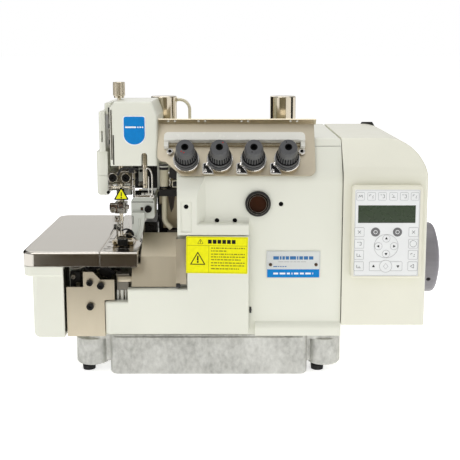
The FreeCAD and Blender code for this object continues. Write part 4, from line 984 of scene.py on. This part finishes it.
def flange_eyelets():
    """White eyelets in pairs along the tension plate's folded top edge."""
    place = slope_frame(1)
    bm = bmesh.new()
    for x in (-19.0, 11.3, 54.4, 103.6):
        for step in (0.0, 6.5):
            spot = on_slope(place, x + step, 44.1, -14.9) @ Matrix.Rotation(math.radians(76.7), 4, "X")
            lathe(bm, [(0.5, 0.6), (1.35, 0.6), (1.35, 1.2), (0.9, 1.7), (0.5, 1.6), (0.5, 0.6)], spot, 18, 0)
    finish_mesh("flange_eyelets", bm, [M["white_plastic"]], "machine")


def casing_hole_shade():
    """Black plugs in the casing's small holes, painted shade for the holes' dark inside, and two thin rings on the
    sight glass.
    """
    low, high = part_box("sight_glass")
    p = Fitting(Vector(((low.x + high.x) / 2, low.y, (low.z + high.z) / 2)))
    # Black plugs: painted shade inside the holes.
    for place in ((22.9, 3.4, -0.5), (-70.7, -6.4, -1.6), (-40.7, 3.6, -17.0), (-22.9, 3.6, -17.0)):
        p.turned(place, [(2.25, -2.4), (2.25, 0), (1.7, 0.25), (0.7, 0.1), (0.6, -0.5), (0, -0.5)], 24)
    wide = 0.35
    for radius in (8.4, 10.2):
        p.turned((0, 0, 0), [(radius, 0), (radius, 1.6), (radius + wide * 0.6, 1.8), (radius + wide, 1.5),
                             (radius + wide, 0), (radius, 0)], 64, 1)
    p.done("casing_hole_shade", [INK["well"], M["machined_steel"]], "machine", "black_plastic")


def casing_stops():
    """Rubber stop beside the cover's upper corner and a small catch near its foot."""
    p = Fitting(corner("front_cover", right=True, top=True))
    p.blocks(((-72.4, 0.9, -52.4), (4.4, 3.4, 4.2), 0, 0.7))
    p.start = shifted(corner("front_cover", right=True, back=True), 1.0, 0.3, 0)
    p.blocks(
        ((0, 0, 18.5), (1.8, 1.1, 6.4), 0, 0.3),
        ((-0.3, 0.1, 21.0), (2.6, 0.9, 1.2), 1, 0.2))
    p.done("casing_stops", [M["black_plastic"], M["machined_steel"]], "machine", "black_plastic")


def head_trim():
    """Nickel seam strips down the head's left side, their slots, and a small black screw below."""
    p = Fitting(corner("head_cover", top=True))
    p.blocks(
        ((-2.0, 6.5, -47), (1.9, 2.4, 40), 0, 0.3),
        *(((-1.9, 6.1, z), (1.7, 0.8, 5), 1, 0.2) for z in (-43, -27, -11)),
        ((2.9, -0.3, -63), (1.3, 1.0, 30), 1, 0.2),
        ((1.0, -0.4, -58), (1.5, 1.0, 50), 0, 0.3))
    p.start = corner("needle_bar_guide")
    p.turned((0.4, 2.4, -2.0),
           [(1.7, 0), (1.7, 1.6), (1.4, 2.0), (0.8, 2.0), (0.7, 1.0), (0, 1.0)], 24, 1)
    p.done("head_trim", [M["machined_steel"], M["dark_steel"]], "machine", "machined_steel")


def looper_links():
    """Black lever, rods, screws, pale strips and a nickel bar under the cloth plate's right half."""
    p = Fitting(corner("side_plate", top=True))
    lever = [(20, -4), (27, 1.6), (33, -6), (43, -10), (45, -5), (36, 1), (30, 6), (22, 4)]
    p.plate(lever, 12, 4)
    p.wire(10.5, ((17, 2), (24, -1), (31, 2.5), (40, 0.5), (46, -4)), 1.6)
    p.wire(13, ((1, 3), (8, 0.5), (15, 2.5), (22, 5)), 1.3, 1)
    for screw in ((5, 13.5, -8), (10, 13.5, -16), (30, 12, 1.6)):
        p.turned(screw, [(2.6, 0), (2.6, 1.8), (2.2, 2.3), (1.2, 2.3), (1.1, 1.0), (0, 1.0)], 24, 1)
    p.blocks(
        ((1.5, 14, -20), (11, 6, 17), 2, 1.0),
        *(((x, 7.0, -50), (wide, 1.4, 30), 3, 0.3) for x, wide in ((49.2, 2.6), (53.0, 3.4), (57.6, 1.6))),
        ((50.0, 6.4, -12), (20.0, 1.7, 6.0), 4, 0.3))
    looks = [M["dark_steel"], M["machined_steel"], M["black_plastic"], M["white_plastic"], M["nickel_sheet"]]
    p.done("looper_links", looks, "machine", "dark_steel")


# ---------------------------------------------------------------- stage, light and camera
def add_mesh(name, points, faces, finish):
    mesh = bpy.data.meshes.new(name)
    mesh.from_pydata(points, [], faces)
    mesh.materials.append(finish.material)
    made = bpy.data.objects.new(name, mesh)
    scene.collection.objects.link(made)
    return made


def floor_piece():
    f = Finish("floor", specular=0.1)
    f.drift((0.97, 0.97, 0.97), 0.01, 3)
    f.bsdf.inputs["Roughness"].default_value = 0.9
    f.bsdf.inputs["Emission Color"].default_value = (1, 1, 1, 1)
    f.bsdf.inputs["Emission Strength"].default_value = FLOOR_GLOW
    points = [(x, y, 0) for x, y in rect(-FLOOR_HALF, -FLOOR_HALF, FLOOR_HALF, FLOOR_HALF)]
    floor = add_mesh("floor", points, [(0, 1, 2, 3)], f)


def studio_world():
    """White to the eye; for the lighting a soft gradient that is brightest overhead."""
    world = bpy.data.worlds.new("studio")
    scene.world = world
    world.use_nodes = True
    tree = world.node_tree
    tree.nodes.clear()

    def node(kind):
        return tree.nodes.new("ShaderNode" + kind)

    def link(a, out, b, into):
        tree.links.new(a.outputs[out], b.inputs[into])

    out, coords, split, ramp = node("OutputWorld"), node("TexCoord"), node("SeparateXYZ"), node("ValToRGB")
    lit, seen, path, mix = node("Background"), node("Background"), node("LightPath"), node("MixShader")
    low_tone, high_tone = ramp.color_ramp.elements
    low_tone.position = 0.0
    low_tone.color = (0.52, 0.52, 0.53, 1)
    high_tone.position = 0.85
    high_tone.color = (1.0, 1.0, 1.0, 1)
    lit.inputs["Strength"].default_value = WORLD_LIGHT
    seen.inputs["Color"].default_value = (1, 1, 1, 1)
    seen.inputs["Strength"].default_value = 1.0
    link(coords, "Generated", split, "Vector")
    link(split, "Z", ramp, "Fac")
    link(ramp, "Color", lit, "Color")
    link(path, "Is Camera Ray", mix, "Fac")
    link(lit, "Background", mix, 1)
    link(seen, "Background", mix, 2)
    link(mix, "Shader", out, "Surface")


def lamps():
    middle = (cad_low + cad_high) / 2
    for name, away, size, power in LAMPS:
        data = bpy.data.lights.new(name, "AREA")
        data.size = size
        data.energy = power
        lamp = bpy.data.objects.new(name, data)
        lamp.location = middle + Vector(away)
        lamp.rotation_euler = (-Vector(away)).to_track_quat("-Z", "Y").to_euler()
        scene.collection.objects.link(lamp)


def hide_card(card):
    """Keeps a card from the camera, from matt surfaces, from glass and out of the shadows."""
    card.visible_camera = False
    card.visible_diffuse = False
    card.visible_shadow = False
    card.visible_transmission = False


def back_card():
    """Bright card behind the machine, mirrored by glossy surfaces and most of all by the table."""
    f = Finish("back_card", specular=0.0)
    f.drift((0.05, 0.05, 0.05), 0.02, 3)
    f.bsdf.inputs["Emission Color"].default_value = (1, 0.99, 0.97, 1)
    f.bsdf.inputs["Emission Strength"].default_value = BACK_GLOW
    points = [(x, 1.2, z) for x, z in rect(-1.4, 0.0, 1.0, 0.9)]
    hide_card(add_mesh("back_card", points, [(0, 1, 2, 3)], f))


def flags():
    """Dark and grey cards round the machine, whose mirror images make bright metal read as metal."""
    for number, (start, end, away, tall, grey) in enumerate(FLAGS):
        f = Finish("flag", specular=0.0)
        f.drift((grey, grey * 0.95, grey * 0.80), 0.1, 4)
        points, faces = [], []
        for k in range(FLAG_STEPS + 1):
            a = math.radians(start + (end - start) * k / FLAG_STEPS)
            x, y = away * math.sin(a), -away * math.cos(a)
            points += [(x, y, 0.0), (x, y, tall)]
            if k:
                faces.append((2 * k - 2, 2 * k, 2 * k + 1, 2 * k - 1))
        hide_card(add_mesh(f"flag_{number}", points, faces, f))


def floor_card():
    """Brown card on the floor in front, mirrored mostly by the cloth plate's rolled lip."""
    f = Finish("floor_flag", specular=0.0)
    f.drift((0.23, 0.175, 0.08), 0.1, 4)
    points = [(x, y, 0.004) for x, y in rect(-0.36, -0.95, 0.04, -0.36)]
    hide_card(add_mesh("floor_flag", points, [(0, 1, 2, 3)], f))


def camera():
    """Long lens just above the machine, looking slightly down at its front."""
    data = bpy.data.cameras.new("camera")
    data.lens = LENS_MM
    data.sensor_width = SENSOR_MM
    data.shift_x = SHIFT_X
    data.shift_y = SHIFT_Y
    eye = bpy.data.objects.new("camera", data)
    eye.location = EYE
    eye.rotation_euler = (math.radians(PITCH), 0, 0)
    scene.collection.objects.link(eye)
    scene.camera = eye


# ---------------------------------------------------------------- whole
scene.view_settings.view_transform = "Standard"
rng = random.Random(7)
dress_cad()
cover_label(rng)
head_badge()
guard_sticker()
keypad_print()
name_plate_print(rng)
arm_shade_casting()
thread_wires()
plate_link()
presser_details()
foot_details()
looper_guides()
clamp_guide()
plate_marks()
pipe_details()
duct_with_painted_shade()
for number, marks in enumerate(KNOB_MARKS, 1):
    knob_cap(number, marks)
tension_trim()
flange_eyelets()
casing_hole_shade()
casing_stops()
head_trim()
looper_links()
floor_piece()
studio_world()
lamps()
flags()
floor_card()
back_card()
camera()
